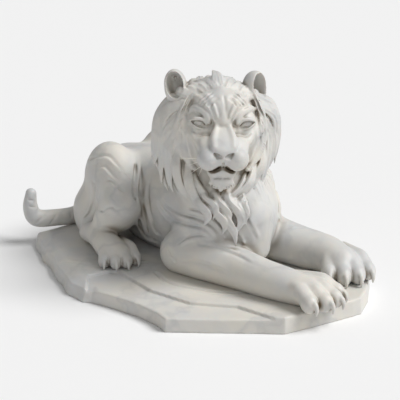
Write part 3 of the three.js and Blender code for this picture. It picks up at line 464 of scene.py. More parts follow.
def ears(clay):
    for s, l, yaw in EAR_PLACES:
        axes = turn(yaw, 8, s * -12) @ HEAD
        middle = on_head(-128, l, 103)
        clay.ball(middle - 12 * axes[0], (50, 42, 60), axes, 12)
        clay.bar([middle + axes.T @ (-8, 0, -28), on_head(-135, s * 112, 40)], [36, 50], 20)
        clay.ball(middle + axes.T @ (22, 0, 4), (64, 33, 49), axes, 3, True)
        for j in range(4):
            strand = [middle + axes.T @ (a, s * (24 - 10 * j + b), c) for a, b, c in
                      ((-26, 4, -30), (-40, -2, -10), (-40, -6, 8), (-28, -4, 28))]
            clay.bent(strand, [5, 6, 5, 4], 3)


# %% [markdown]
# ## The mane
#
# The mane is one mass with hair laid over it, lock upon lock. The mass is flattened like a
# map round the middle of the face. On the map each lock is walked along the way the hair is
# combed, outwards at first and then down the sides, and painted as a height that rises
# towards its tip, so that every tip stands over the roots of the next row.

# %% The hair's mass
def mane_mass(clay):
    head_ball(clay, (-150, -18, -90), (120, 218, 174), 30)
    head_ball(clay, (-135, -12, -160), (120, 190, 140), 30)
    head_ball(clay, (-155, -32, 6), (110, 152, 116), 30)
    head_ball(clay, (-120, -6, -270), (120, 155, 120), 40)
    clay.bent([on_head(-185, -10, -50), (-225, 0, 410), (-300, 0, 300)], [128, 125, 105], 50)
    clay.bar([on_head(-80, 0, -280), (0, -30, 240), (35, -10, 100)], [115, 88, 45], 50)


def flatten(f, l, u):
    x, up = f - MANE_CENTRE[0], u - MANE_CENTRE[2]
    z = np.where(up < 0, up * 0.8, up)
    angle = np.arccos(np.clip(x / (np.sqrt(x * x + l * l + z * z) + 1e-6), -1, 1)) * MANE_RADIUS
    q = np.sqrt(l * l + z * z) + 1e-6
    return angle * l / q, angle * z / q


# %% Locks painted on the map
def comb(p, curl):
    r = math.hypot(*p) + 1e-6
    down = float(smooth((math.atan2(abs(p[0]), p[1]) - 0.45) / 0.9))
    d = p / r * (1 - 0.55 * down) + np.array([0, -1.25 * down])
    d /= math.hypot(*d)
    side = np.sign(p[0]) or 1
    return d + np.array([-d[1], d[0]]) * side * curl


class Hair:
    def __init__(self, half, step):
        self.half, self.step = half, step
        self.count = int(2 * half / step) + 1
        self.height = np.zeros((self.count, self.count), np.float32)

    def lock(self, path, width, lift, thick, fine, strands):
        path = np.array(path)
        lo = np.maximum(((path.min(0) - width + self.half) / self.step).astype(int), 0)
        hi = np.minimum(((path.max(0) + width + self.half) / self.step).astype(int) + 2, self.count)
        if (hi <= lo).any():
            return
        x = (np.arange(lo[0], hi[0]) * self.step - self.half)[:, None]
        y = (np.arange(lo[1], hi[1]) * self.step - self.half)[None, :]
        best = np.full((hi[0] - lo[0], hi[1] - lo[1]), 1e9)
        place, side = np.zeros_like(best), np.zeros_like(best)
        n = len(path) - 1
        for i in range(n):
            a, d = path[i], path[i + 1] - path[i]
            t = np.clip(((x - a[0]) * d[0] + (y - a[1]) * d[1]) / (d @ d + 1e-9), 0, 1)
            ex, ey = x - a[0] - t * d[0], y - a[1] - t * d[1]
            q = ex * ex + ey * ey
            near = q < best
            place = np.where(near, (i + t) / n, place)
            side = np.where(near, np.sign(d[0] * ey - d[1] * ex), side)
            best = np.where(near, q, best)
        half = width * 0.5 * np.minimum(0.55 + place * 2.2, 1) * np.clip((1 - place) / 0.55, 0, 1) ** 0.8
        across = np.sqrt(best) / (half + 1e-3)
        crown = np.sqrt(np.clip(1 - across**2, 0, 1))
        height = lift * place + thick * crown * np.minimum(1, 0.4 + 1.5 * (1 - place))
        height += fine * np.cos(side * across * math.pi * strands) * crown
        view = self.height[lo[0]:hi[0], lo[1]:hi[1]]
        np.maximum(view, np.where(across < 1, height, 0), out=view)

    def at(self, x, y):
        gx = np.clip((x + self.half) / self.step, 0, self.count - 1.001)
        gy = np.clip((y + self.half) / self.step, 0, self.count - 1.001)
        i, j = gx.astype(int), gy.astype(int)
        a, b, h = gx - i, gy - j, self.height
        return (h[i, j] * (1 - a) * (1 - b) + h[i + 1, j] * a * (1 - b)
                + h[i, j + 1] * (1 - a) * b + h[i + 1, j + 1] * a * b)


# rings of roots: distance from the middle of the face, lock width, lock length
HAIR_RINGS = (
    (860, 50, 200), (800, 50, 200), (740, 50, 200), (680, 50, 190), (620, 48, 190), (560, 48, 190),
    (500, 46, 190), (450, 46, 180), (400, 44, 180), (355, 42, 170), (310, 40, 160), (270, 38, 150),
    (235, 34, 130), (205, 30, 110), (180, 26, 90),
)


def combed_hair():
    hair = Hair(880, 2.5)
    steps, k = 10, 0
    for ring, width, length in HAIR_RINGS:
        n = int(2 * math.pi * ring / (width * 0.75) / 2)
        short = ring < 290
        for i in range(n):
            for side in (1, -1):
                k += 1
                angle = (i + 0.5 + 0.5 * (scatter(k) - 0.5)) * math.pi / n
                root = ring * (1 + 0.06 * (scatter(k + 0.3) - 0.5))
                p = np.array([side * math.sin(angle), math.cos(angle)]) * root
                path = [p]
                reach = length * (0.8 + 0.4 * scatter(k + 0.7))
                sway = 0.3 + 0.25 * scatter(k + 0.9)
                for j in range(steps):
                    t = j / steps
                    curl = (sway * math.sin(2 * math.pi * (t * 0.95 + scatter(k + 0.5) * 0.5))
                            + 0.9 * (scatter(k + 0.2) - 0.25) * max(t - 0.6, 0) * 2)
                    d = comb(p, curl)
                    p = p + d * reach / steps / math.hypot(*d)
                    path.append(p)
                hair.lock(path, width * (0.8 + 0.45 * scatter(k + 0.1)), MANE_LIFT * (0.45 if short else 1),
                          LOCK_THICKNESS * (0.55 if short else 1), 2.2, 2 if short else 3)
    print("locks on the map:", k)
    return hair


# %% The map laid back on the mane
def mane(clay):
    hair = combed_hair()
    gx, gy, gz = (clay.axes[i].reshape([-1 if j == i else 1 for j in range(3)]) - EYE_LINE[i]
                  for i in range(3))
    f, l, u = (gx * axis[0] + gy * axis[1] + gz * axis[2] for axis in HEAD)
    far = np.sqrt((f + 170) ** 2 + l * l + (u * 0.72 + 90) ** 2)
    near = np.nonzero((np.abs(clay.field) < 50) & (far < 355))
    f, l, u, far = f[near], l[near], u[near], far[near]
    bare = np.sqrt((l / 146) ** 2 + ((u + 5) / np.where(u > -5, 118, 200)) ** 2)
    front = np.clip((f + 150) / 60, 0, 1)
    edge = smooth((bare - 0.93) / 0.14) * front + 1 - front
    muzzle = np.sqrt(((f - 60) / 75) ** 2 + (l / 85) ** 2 + ((u + 140) / 85) ** 2)
    clear = np.clip((muzzle - 0.9) / 0.25, 0, 1)
    for _, ear_l, _ in EAR_PLACES:
        gap = np.sqrt((f + 125) ** 2 + (l - ear_l) ** 2 + (u - 110) ** 2)
        clear = clear * np.clip((gap - 58) / 30, 0, 1)
    clear = clear * (1 - smooth((u - 40) / 40) * smooth((f + 200) / 40) * 0.85)
    height = hair.at(*flatten(f, l, u)) * edge * clear
    # the hair runs out down the neck and the chest
    height = height * np.clip((300 - far) / 40, 0, 1) * np.clip((u + 318) / 60, 0, 1)
    clay.field[near] -= height.astype(np.float32)


# %% [markdown]
# Some locks stand free of the mass: the long ones that hang beside the face and end in
# points, the beard, the hair down the chest, and the hair swept back between the ears.
# Each is a bundle of strands that closes to a point, and no two strands are quite as long.

# %% Free locks
def lock(clay, points, width, strands=5, soft=6, k=0.0, wave=8.0, thick=0.5):
    path = curve([on_head(*p) for p in points], 7)
    t = np.linspace(0, 1, len(path))
    way = unit(np.gradient(path, axis=0))
    middle = on_head(-120, 0, -60)
    across = unit(np.cross(way, (path - middle) * 0.006 + HEAD[0] * 0.8))
    out = np.cross(across, way)
    sway = unit(np.cross(way, HEAD[0]))
    path = path + sway * (wave * np.sin(t * 7 + 6.28 * scatter(k)) * (0.3 + 1.1 * t))[:, None]
    half = width * 0.5 * np.minimum(0.55 + 1.5 * t, 1) * np.clip((1.02 - t) / 0.48, 0, 1) ** 0.75
    half = np.maximum(half, 3.0)
    clay.bar(path, half * 0.9, soft, flat=(unit(out.mean(0)), thick))
    for j in range(strands):
        o = (j + 0.5) / strands * 2 - 1
        o = o + 0.25 / strands * (scatter(k + j) - 0.5)
        last = int(len(path) * (1 - 0.12 * abs(o) - 0.08 * scatter(k + j * 0.7)))
        lie = half * thick * 0.9 * math.sqrt(1 - o * o) + 3.5 * (scatter(k + j * 0.37) - 0.6)
        strand = path + across * (half * 0.92 * o)[:, None] + out * lie[:, None]
        r = np.maximum(half / strands * 1.25, 2.3)
        clay.bar(strand[:last], r[:last], 1.2)


# The locks beside the face hang between four lines, given from the temple to the chin:
# where they leave the cheek, where they swell outwards, where they fall, and their tips.
LEAVE = ((-90, 126, 78), (-94, 160, 22), (-96, 172, -30),
         (-88, 170, -92), (-62, 146, -150), (-22, 100, -188))
SWELL = ((-120, 210, 32), (-122, 222, -40), (-108, 204, -105),
         (-76, 184, -160), (-32, 142, -215), (20, 88, -238))
FALL = ((-132, 246, -70), (-130, 232, -140), (-112, 202, -205),
        (-72, 158, -242), (-14, 98, -290), (30, 48, -300))
TIPS = ((-138, 262, -205), (-132, 214, -284), (-104, 178, -318),
        (-62, 126, -322), (-18, 50, -366), (22, 20, -372))
HANGING_LOCKS = 11
LEFT_PULL = (0, 26, 40, 42)       # the mane is narrower on the animal's left
RIGHT_PULL = (0, 26, 8, 0)        # and closer to the head by the right ear


def free_locks(clay):
    for s in (-1, 1):
        for i in range(HANGING_LOCKS):
            place = i / (HANGING_LOCKS - 1)
            k = i + 20 * s
            short = 0.18 * scatter(k + 0.4) + (0.14 if i % 2 else 0)
            points = []
            fade = 1 - 0.4 * place if s > 0 else max(0, 1 - 3 * place)
            for line, pull in zip((LEAVE, SWELL, FALL, TIPS), LEFT_PULL if s > 0 else RIGHT_PULL):
                p = np.array([np.interp(place, np.linspace(0, 1, len(line)), v) for v in zip(*line)])
                points.append(p - (0, pull * fade, 0))
            points[3] = points[3] + (points[2] - points[3]) * short
            points = [(f + (12 if i % 2 else -8), s * l, u) for f, l, u in points]
            lock(clay, points, 58 - 12 * place, 5, k=k)
    beard = ((0, 0, 0), (20, -4, 8), (-20, -4, 6), (11, 6, 12), (-10, 6, 10), (32, -12, 20),
             (-32, -12, 20))
    for j, (l, f, u) in enumerate(beard):
        lock(clay, [(48 + f, l, -195), (66 + f, l * 1.1, -214), (60 + f, l * 0.95, u - 232),
                    (50 + f, l * 0.7, u - 246)], 22, 3, 3, k=j, wave=2)
    chest = ((0, 50, -232, -455, 42), (-40, 12, -250, -410, 40), (48, 76, -250, -405, 40),
             (-78, -46, -262, -380, 36), (82, 96, -262, -370, 36), (-18, 26, -225, -360, 36),
             (24, 62, -225, -380, 36), (-60, -14, -245, -350, 34))
    for j, (l0, l1, u0, u1, width) in enumerate(chest):
        strand = [(4, l0, u0), (40, 0.75 * l0 + 0.25 * l1 - 8, 0.7 * u0 + 0.3 * u1),
                  (62, 0.35 * l0 + 0.65 * l1 + 10, 0.35 * u0 + 0.65 * u1), (62, l1, u1)]
        lock(clay, strand, width + 4, 5, k=j + 40, wave=9)
    for j in range(6):
        for s in (1, -1):
            strand = [(-60 - 4 * j, s * (6 + 19 * j) - 6, 96 - 5 * j),
                      (-86 - 3 * j, s * (18 + 22 * j) - 10, 118 - 7 * j),
                      (-120, s * (38 + 21 * j) - 14, 127 - 9 * j),
                      (-165, s * (66 + 16 * j) - 16, 118 - 9 * j)]
            lock(clay, strand, 40, 4, 5, k=j + 60 + s, wave=3, thick=0.3)
    tuft = [(-74, -10, 96), (-96, -16, 122), (-116, -24, 146), (-132, -34, 164)]
    lock(clay, tuft, 46, 4, 10, k=80, wave=2)


# %% [markdown]
# A band of short hair frames the cheeks, with fine hairs combed across it.

# %% The ruff beside the cheeks
RUFF = ((-92, 118, 82), (-76, 128, 60), (-66, 144, 26), (-66, 153, -34), (-56, 150, -92),
        (-34, 130, -140), (-6, 98, -176))
# the hollow cut behind the whisker pad, from the cheek to the chin
GULLY = ((-2, 126, -58), (10, 118, -86), (16, 106, -112), (18, 94, -148), (18, 74, -186), (20, 50, -222))


def ruff(clay):
    for s in (1, -1):
        clay.bent([on_head(f, s * l, u) for f, l, u in RUFF], [4, 9, 14, 17, 17, 15, 10], 12, 6)
        clay.bent([on_head(f, s * l, u) for f, l, u in GULLY], [6, 13, 17, 18, 18, 12], 9, 6, True)
        head_ball(clay, (64, s * 49, -110), (58, 44, 46), 7, (s * 10, 6, 0))


# %% [markdown]
# ## Lines in the stone
#
# Last come the lines: tiger stripes and folds on the face, whisker rows, the edge of the lids,
# and the long drapery-like folds on flank, shoulder and haunch.

# %% Lines of the face
def on_face(l, u):
    return clay.meet(on_head(250, l, u), -HEAD[0], 550)


def face_line(points, width, depth, taper=0.25, sides=(1, -1)):
    for s in sides:
        path = [on_face(s * l, u) for l, u in points]
        path = [p for p in path if p is not None]
        if len(path) > 1:
            clay.carve(curve(path, 4), width, depth, taper)


def face_lines():
    for s in (1, -1):
        clay.carve(curve([on_head(*on_ball(s, l, u - 7)) for l, u in UPPER_LID[1:]], 4), 3.0, 10, 0.15)
        clay.carve(curve([on_head(*on_ball(s, l, u + 6)) for l, u in LOWER_LID[1:]], 4), 2.6, 6, 0.15)
        ring = [on_head(*on_ball(s, 87 + 11.5 * math.cos(a), -1 + 11.5 * math.sin(a)))
                for a in np.linspace(0, 2 * math.pi, 13)]
        clay.carve(ring, 2.4, 6.5, 0)
        clay.carve([on_head(*on_ball(s, 87, 2)), on_head(*on_ball(s, 87, -3))], 5, 9, 0)
    face_line([(0, -96), (0, -112), (0, -132)], 3.5, 8, 0.1, (1,))
    face_line([(-1, 108), (4, 80), (8, 50), (10, 28)], 5, 6, 0.3, (1,))
    face_line([(38, -12), (39, 6), (46, 28), (56, 46), (74, 60), (98, 60)], 4, 11)
    face_line([(28, 10), (33, 34), (44, 58), (58, 76)], 4, 10)
    face_line([(12, 20), (18, 48), (28, 74), (40, 94)], 4, 9)
    for i in range(5):
        face_line([(14 + 6 * i, 94 + 5 * i), (32 + 11 * i, 86 + 1 * i), (50 + 16 * i, 62 - 3 * i)], 4, 8)
    face_line([(122, -24), (118, -52), (102, -78), (86, -90)], 5, 8)
    face_line([(62, -34), (84, -42), (108, -30), (122, -8)], 5, 8)
    for i in range(5):
        face_line([(24, -104 - 9 * i), (46, -108 - 10 * i), (70, -104 - 9 * i), (88, -94 - 8 * i)], 2.4, 3.2)
    face_line([(0, -182), (18, -180), (34, -188)], 4, 6)
    for i in range(-5, 6):
        face_line([(8 * i, -192), (8.5 * i, -215), (8 * i, -235)], 2.8, 5, sides=(1,))
    edge = curve(RUFF, 6)
    for s in (1, -1):
        for f, l, u in edge[1:-1]:
            face_line([(l - 12, u + 12), (l + 3, u - 4), (l + 13, u - 26)], 2.6, 5, 0.3, (s,))
        face_line([(l - 17, u) for f, l, u in RUFF], 4, 7, 0.15, (s,))


# %% Folds of the body
# spots in the picture along each fold, then how far the ridge beside it lies in pixels,
# its width and depth in millimetres
FOLDS = (
    (((87, 162), (97, 157), (108, 156), (116, 164), (123, 171), (129, 174)), (0, 3.2), 7, 9),
    (((96, 170), (103, 166), (107, 169), (113, 176), (120, 182)), (0, 3), 7, 7),
    (((105, 181), (111, 181), (118, 188), (125, 192)), (0, 3), 6, 7),
    (((91, 181), (95, 185), (94, 199), (90, 212), (84, 218), (79, 215)), (-2.4, 0), 6, 7),
    (((96, 209), (103, 211), (107, 208), (112, 207), (117, 210), (127, 206)), (0, 2.6), 5, 6),
    (((134, 148), (135, 171), (134, 196), (139, 221), (149, 238), (166, 257)), (-3, 0.5), 8, 9),
    (((141, 152), (141, 178), (140, 199), (145, 221), (156, 241), (167, 250)), (-2.6, 0.5), 7, 8),
    (((153, 171), (148, 192), (151, 215), (158, 233), (166, 244)), (-2.4, 0.5), 7, 7),
    (((155, 192), (160, 206), (172, 219), (186, 224), (203, 228), (216, 240)), (-0.4, 3.4), 8, 10),
    (((160, 196), (168, 206), (182, 214), (199, 219), (213, 227), (222, 240)), (-0.4, 3.2), 7, 9),
    (((184, 208), (200, 211), (215, 219), (225, 232), (228, 246)), (-0.6, 3.0), 6, 7),
    (((168, 246), (171, 254), (178, 264)), (-2.2, 0.6), 5, 7),
    (((176, 245), (186, 238), (198, 235), (210, 237)), (0.6, 2.8), 6, 6),
    (((232, 222), (238, 236), (246, 250)), (2.5, 0), 6, 6),
    (((244, 214), (252, 228), (258, 242)), (2.5, 0), 6, 6),
    (((176, 262), (196, 262), (216, 268), (232, 276)), (0, -2.6), 7, 5),
    (((196, 243), (216, 248), (238, 256), (256, 266)), (0, -2.8), 7, 5),
)


def far_side(clay, path):
    """The same line on the other side of the body."""
    points = [clay.meet((p[0], 480, p[2]), (0, -1, 0), 470) for p in path]
    return [p for p in points if p is not None]


def folds():
    for points, ridge, width, depth in FOLDS:
        groove = [p for p in (seen(clay, x, y) for x, y in points) if p is not None]
        beside = [p for p in (seen(clay, x + ridge[0], y + ridge[1]) for x, y in points) if p is not None]
        other = far_side(clay, groove)
        other_ridge = far_side(clay, beside)
        for line, wide, deep in ((beside, width * 1.3, -0.8 * depth), (groove, width, depth),
                                 (other_ridge, width * 1.3, -0.8 * depth), (other, width, depth)):
            if len(line) > 1:
                clay.carve(curve(line, 5), wide, deep)


TAIL_BANDS = (
    ((70, 211), (71, 219), (69, 226)), ((58, 212), (54, 219), (48, 226)), ((46, 212), (41, 219), (32, 224)),
    ((42, 205), (36, 208), (28, 206)), ((40, 199), (34, 201), (27, 199)),
)


def tail_bands():
    for points in TAIL_BANDS:
        line = [p for p in (seen(clay, x, y) for x, y in points) if p is not None]
        if len(line) > 1:
            clay.carve(curve(line, 5), 5, 4, 0.3)


# %% [markdown]
# ## From clay to mesh
#
# The surface is drawn through the cells where the distance changes sign: one point in each
# such cell, one face across each such edge. Decimate then thins the flat places and keeps the
# points where the carving is.

# %% Surface of the clay
def surface(clay):
    d, step = clay.field, clay.step
    inside = d < 0
    n = np.array(d.shape)
    tally = np.zeros(n - 1, np.uint8)
    for i in range(8):
        o = [(i >> j) & 1 for j in range(3)]
        tally += inside[o[0]:n[0] - 1 + o[0], o[1]:n[1] - 1 + o[1], o[2]:n[2] - 1 + o[2]]
    crossed = (tally > 0) & (tally < 8)
    number = np.full(crossed.shape, -1, np.int32)
    cells = np.argwhere(crossed)
    number[crossed] = np.arange(len(cells))
    total, hits = np.zeros((len(cells), 3)), np.zeros(len(cells))
    for axis in range(3):
        others = [j for j in range(3) if j != axis]
        for k in range(4):
            a = cells.copy()
            a[:, others[0]] += k & 1
            a[:, others[1]] += k >> 1
            b = a.copy()
            b[:, axis] += 1
            va, vb = d[tuple(a.T)], d[tuple(b.T)]
            m = (va < 0) != (vb < 0)
            point = a[m].astype(float)
            point[:, axis] += va[m] / (va[m] - vb[m])
            total[m] += point
            hits[m] += 1
    points = clay.low + step * (total / hits[:, None])
    faces = []
    for axis in range(3):
        first, second = [slice(None)] * 3, [slice(None)] * 3
        first[axis], second[axis] = slice(0, -1), slice(1, None)
        g = np.argwhere(inside[tuple(first)] != inside[tuple(second)])
        p, q = ((1, 2), (2, 0), (0, 1))[axis]
        g = g[(g[:, p] > 0) & (g[:, q] > 0) & (g[:, p] < n[p] - 1) & (g[:, q] < n[q] - 1)]

        def cell(dp, dq):
            c = g.copy()
            c[:, p] -= dp
            c[:, q] -= dq
            return number[tuple(c.T)]

        quad = np.stack([cell(1, 1), cell(0, 1), cell(0, 0), cell(1, 0)], 1)
        outward = inside[tuple(g.T)]
        quad[~outward] = quad[~outward][:, ::-1]
        faces.append(quad)
    return points, np.vstack(faces)


# %% A mesh object with the triangles that it needs
def select_only(piece):
    bpy.ops.object.select_all(action="DESELECT")
    piece.select_set(True)
    bpy.context.view_layer.objects.active = piece


def piece_from(name, points, faces, most):
    data = bpy.data.meshes.new(name)
    data.vertices.add(len(points))
    data.vertices.foreach_set("co", np.asarray(points, np.float32).ravel())
    data.loops.add(faces.size)
    data.loops.foreach_set("vertex_index", faces.astype(np.int32).ravel())
    data.polygons.add(len(faces))
    data.polygons.foreach_set("loop_start", np.arange(0, faces.size, 4, dtype=np.int32))
    data.update(calc_edges=True)
    data.validate()
    piece = bpy.data.objects.new(name, data)
    bpy.context.scene.collection.objects.link(piece)
    select_only(piece)
    bpy.ops.object.mode_set(mode="EDIT")
    bpy.ops.mesh.select_all(action="SELECT")
    bpy.ops.mesh.quads_convert_to_tris()
    bpy.ops.object.mode_set(mode="OBJECT")
    keep_largest(piece)
    thin = piece.modifiers.new("thin", "DECIMATE")
    thin.ratio = min(1, most / len(piece.data.polygons))
    bpy.ops.object.modifier_apply(modifier=thin.name)
    keep_largest(piece)
    bpy.ops.object.shade_smooth()
    print(name, "has", len(piece.data.polygons), "triangles")
    return piece


def keep_largest(piece):
    """Deletes crumbs and sealed hollows: all but the shell with the most points."""
    data = piece.data
    edges = np.empty(len(data.edges) * 2, np.int32)
    data.edges.foreach_get("vertices", edges)
    a, b = edges.reshape(-1, 2).T
    label = np.arange(len(data.vertices))
    while True:
        low = np.minimum(label[a], label[b])
        new = label.copy()
        np.minimum.at(new, a, low)
        np.minimum.at(new, b, low)
        new = new[new]
        if (new == label).all():
            break
        label = new
    values, counts = np.unique(label, return_counts=True)
    if len(values) == 1:
        return
    mesh = bmesh.new()
    mesh.from_mesh(data)
    mesh.verts.ensure_lookup_table()
    drop = np.nonzero(label != values[counts.argmax()])[0]
    bmesh.ops.delete(mesh, geom=[mesh.verts[i] for i in drop], context="VERTS")
    mesh.to_mesh(data)
    mesh.free()
    print("crumbs removed:", len(values) - 1)


# %% [markdown]
# ## The slab
#
# The slab is a sawn plate with a broken, softly worn rim and a lower terrace in front of the
# near legs. It is shaped from its outline in plan and a height over it.

# %% Outline and terrace in plan
SLAB_OUTLINE = (
    (-896, -322), (-800, -388), (-734, -422), (-569, -486), (-400, -560), (-316, -572), (-290, -548),
    (-158, -522), (-68, -510), (30, -512), (95, -528), (225, -400), (345, -280), (400, -228), (430, -90),
    (459, 65), (462, 105), (405, 205), (320, 310), (150, 380), (-150, 410), (-500, 400), (-760, 330),
    (-850, 150), (-900, -150),
)
TERRACE = (
    (-290, -640), (-300, -570), (-386, -488), (-376, -420), (-347, -372), (-125, -407), (65, -381),
    (208, -275), (383, -252), (460, -262), (460, -700), (-290, -700),
)


def signed_plan(line, x, y):
    """Distance in plan to a closed line, below zero inside it."""
    best = np.full(np.broadcast(x, y).shape, 1e12)
    inside = np.zeros(best.shape, bool)
    for a, b in zip(line, np.roll(line, -1, 0)):
        d = b - a
        t = np.clip(((x - a[0]) * d[0] + (y - a[1]) * d[1]) / max(d @ d, 1e-9), 0, 1)
        best = np.minimum(best, (x - a[0] - t * d[0]) ** 2 + (y - a[1] - t * d[1]) ** 2)
        if a[1] != b[1]:
            inside ^= ((a[1] > y) != (b[1] > y)) & (x < d[0] * (y - a[1]) / d[1] + a[0])
    return np.where(inside, -1, 1) * np.sqrt(best)


# ripples worn into the top, each a line in plan
RIPPLES = (
    ((-226, -287), (-107, -318), (57, -253), (191, -137), (300, -60)),
    ((-560, -470), (-470, -420), (-400, -330), (-330, -250)),
)


def signed_way(line, x, y):
    """Distance in plan to an open line."""
    path = curve(line, 5)
    best = np.full(np.broadcast(x, y).shape, 1e9)
    for a, b in zip(path[:-1], path[1:]):
        d = b - a
        t = np.clip(((x - a[0]) * d[0] + (y - a[1]) * d[1]) / (d @ d), 0, 1)
        best = np.minimum(best, np.hypot(x - a[0] - t * d[0], y - a[1] - t * d[1]))
    return best


# %% The slab's stone
def make_slab():
    block = Clay((-980, -640, -SLAB_THICKNESS - 1.5 * SLAB_GRID), (540, 480, 18), SLAB_GRID)
    x, y = block.axes[0][:, None], block.axes[1][None, :]
    worn = smooth((-250 - x) / 80)
    ring = np.array(SLAB_OUTLINE, float)
    wander = 5 * np.sin(x / 43 + y / 61) + 3 * np.sin(x / 31 - y / 47) + 6
    out = signed_plan(ring, x, y) + worn * wander
    rim = (2 + 12 * worn) * smooth((out + 8 + 30 * worn) / (10 + 32 * worn))
    drop = SLAB_STEP * smooth((3 - signed_plan(np.array(TERRACE, float), x, y)) / 7)
    for line in RIPPLES:
        near = np.minimum(signed_way(line, x, y), 30)
        drop = drop + 3.5 * np.exp(-(near / 9) ** 2) - 3 * np.exp(-((near - 13) / 9) ** 2)
    wave = 0.8 * np.sin(x / 57 + 1.3) * np.sin(y / 71)
    top = (-rim - drop + wave * smooth(rim + drop))[..., None]
    z = block.axes[2][None, None, :]
    grain = np.sin(x / 19 + y / 23)[..., None] * np.sin(z / 14 + (x / 37)[..., None])
    chips = (0.5 + 1.5 * worn)[..., None] * grain
    side = out[..., None] + (0.04 + 0.2 * worn)[..., None] * z + chips
    block.field[:] = np.maximum(-SLAB_THICKNESS - z, -soft_min(-side, -(z - top), 5))
    return surface(block)


slab_points, slab_faces = make_slab()
slab_low, slab_high = slab_points.min(0), slab_points.max(0)
cad_low, cad_high = (np.array(v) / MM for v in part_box("plinth"))
SHIFT = (cad_low + cad_high) / 2 - (slab_low + slab_high) / 2
SHIFT[2] = SLAB_THICKNESS
print("layout to frame, mm", SHIFT.round(1))


def placed(points):
    """From the layout's millimetres to the frame's metres."""
    return (np.asarray(points, float) + SHIFT) * MM


slab = piece_from("carved_slab", placed(slab_points), slab_faces, SLAB_FACES)
level = np.empty(len(slab.data.vertices) * 3, np.float32)
slab.data.vertices.foreach_get("co", level)
level = level.reshape(-1, 3)
level[np.abs(level[:, 2]) < 0.002, 2] = 0
slab.data.vertices.foreach_set("co", level.ravel())
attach(slab, "root")
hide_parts("plinth")

# %% [markdown]
# ## The cat
#
# The masses come first, then the face and the ears, then the hair and at last the lines, in
# the order in which a carver works.

# %% Carve it
clay = Clay((-1024, -480, -1.5 * GRID), (584, 424, 848), GRID)
body(clay)
mane_mass(clay)
face(clay)
brow(clay)
ears(clay)
folds()
tail_bands()
mane(clay)
ruff(clay)
free_locks(clay)
face_lines()
clay.field = np.maximum(clay.field, -clay.axes[2][None, None, :])
cat_points, cat_faces = surface(clay)
print("grid", clay.count, "points on the surface", len(cat_points))

# %% Mesh it
cat = piece_from("carved_cat", placed(cat_points), cat_faces, CAT_FACES)
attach(cat, "root")
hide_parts("tiger")


# %% [markdown]
# Hollows get a warm brown: partly dirt that gathers there, partly painted shade, darker where
# less light gets in. How deep each point lies in a hollow can be read from the clay: a little
# way out from the surface, the distance back to it is short in a hollow and full on a bulge.
# The value is kept with the mesh for the material.

# %% How deep in a hollow each point lies, for the painted shade and dirt
# the deeper a point lies in a hollow, the more brown the marble gets there: dirt and painted shade
def recess_dirt_and_shade(piece, field):
    data = piece.data
    points = np.empty(len(data.vertices) * 3, np.float32)
    normals = np.empty(len(data.vertices) * 3, np.float32)
    data.vertices.foreach_get("co", points)
    data.vertices.foreach_get("normal", normals)
    points = points.reshape(-1, 3) / MM - SHIFT
    normals = normals.reshape(-1, 3)
    value = np.zeros(len(points))
    for out in (8, 20, 45):
        value += 1 - np.clip(field.at(points + normals * out) / out, 0, 1)
    layer = data.attributes.new("recess_dirt_and_shade", "FLOAT", "POINT")
    layer.data.foreach_set("value", (value / 3).astype(np.float32))
    print("shelter from", round(float(value.min() / 3), 2), "to", round(float(value.max() / 3), 2))


recess_dirt_and_shade(cat, clay)

# %% [markdown]
# ## Whiskers
#
# Fine stiff rods stand out of the right whisker pad. Each is a cone, long and thin, turned to
# its place.

# %% Whiskers
WHISKERS = (
    ((60, -93, -115), (62, -161, -118)),
    ((60, -93, -131), (62, -124, -142)),
    ((60, -84, -150), (62, -120, -178)),
    ((66, -70, -140), (68, -86, -180)),
)
WHISKER_DIAMETER = 2.6
whiskers = []
for i, (root, tip) in enumerate(WHISKERS):
    root, tip = on_head(*root), on_head(*tip)
    way = unit(root - tip)
    skin = clay.meet(tip, way, 120)
    start = (skin if skin is not None else root) + way * 1.5
    length = np.linalg.norm(start - tip)
    bpy.ops.object.select_all(action="DESELECT")
    bpy.ops.mesh.primitive_cone_add(vertices=10, radius1=WHISKER_DIAMETER / 2 * MM, radius2=0.3 * MM,
                                    depth=length * MM, location=(0, 0, length / 2 * MM))
    whisker = bpy.context.object
    whisker.name = f"fine_whisker_{i + 1}"
    bpy.ops.object.transform_apply(location=True, rotation=True, scale=True)
    facing = Vector(-way).to_track_quat("Z", "Y").to_matrix().to_4x4()
    whisker.data.transform(Matrix.Translation(Vector(placed(start))) @ facing)
    bpy.ops.object.shade_smooth_by_angle(angle=math.radians(40))
    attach(whisker, "root")
    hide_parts(f"whisker_right_{i + 1}")
    whiskers.append(whisker)
print("whiskers", len(whiskers))

# %% [markdown]
# ## Marble
#
# White marble is not white paint: it has soft grey veins and clouds, a honed surface whose shine
# varies a little from place to place, and a warm brown in hollows, partly dirt and partly painted shade.

# %% Colours
def colour(code, alpha=1.0):
    """An sRGB hex code as the linear colour that a shader takes."""
    parts = [int(code[i:i + 2], 16) / 255 for i in (1, 3, 5)]
    return tuple(c / 12.92 if c <= 0.04045 else ((c + 0.055) / 1.055) ** 2.4 for c in parts) + (alpha,)


def grey(value):
    """A plain factor, as the colour that a ramp's stop takes."""
    return (value, value, value, 1)


MARBLE = "#D8D4CB"
MARBLE_COOL = "#CBCBCA"
VEIN = "#A9ABAD"
# the warm brown laid into hollows: partly dirt, partly painted shade
DIRT_AND_SHADE_BROWN = "#6E5F48"
FLOOR = "#F2F2F2"


# %% One small function adds a node
def add_node(tree, kind, links=None, **values):
    node = tree.nodes.new(kind)
    for key, value in values.items():
        if key in node.inputs:
            node.inputs[key].default_value = value
        else:
            setattr(node, key, value)
    for socket, source in (links or {}).items():
        tree.links.new(source, node.inputs[socket])
    return node


def ramp(tree, source, stops):
    node = add_node(tree, "ShaderNodeValToRGB", {"Fac": source})
    points = node.color_ramp.elements
    while len(points) < len(stops):
        points.new(0.5)
    for point, (position, value) in zip(points, stops):
        point.position = position
        point.color = value
    return node.outputs["Color"]


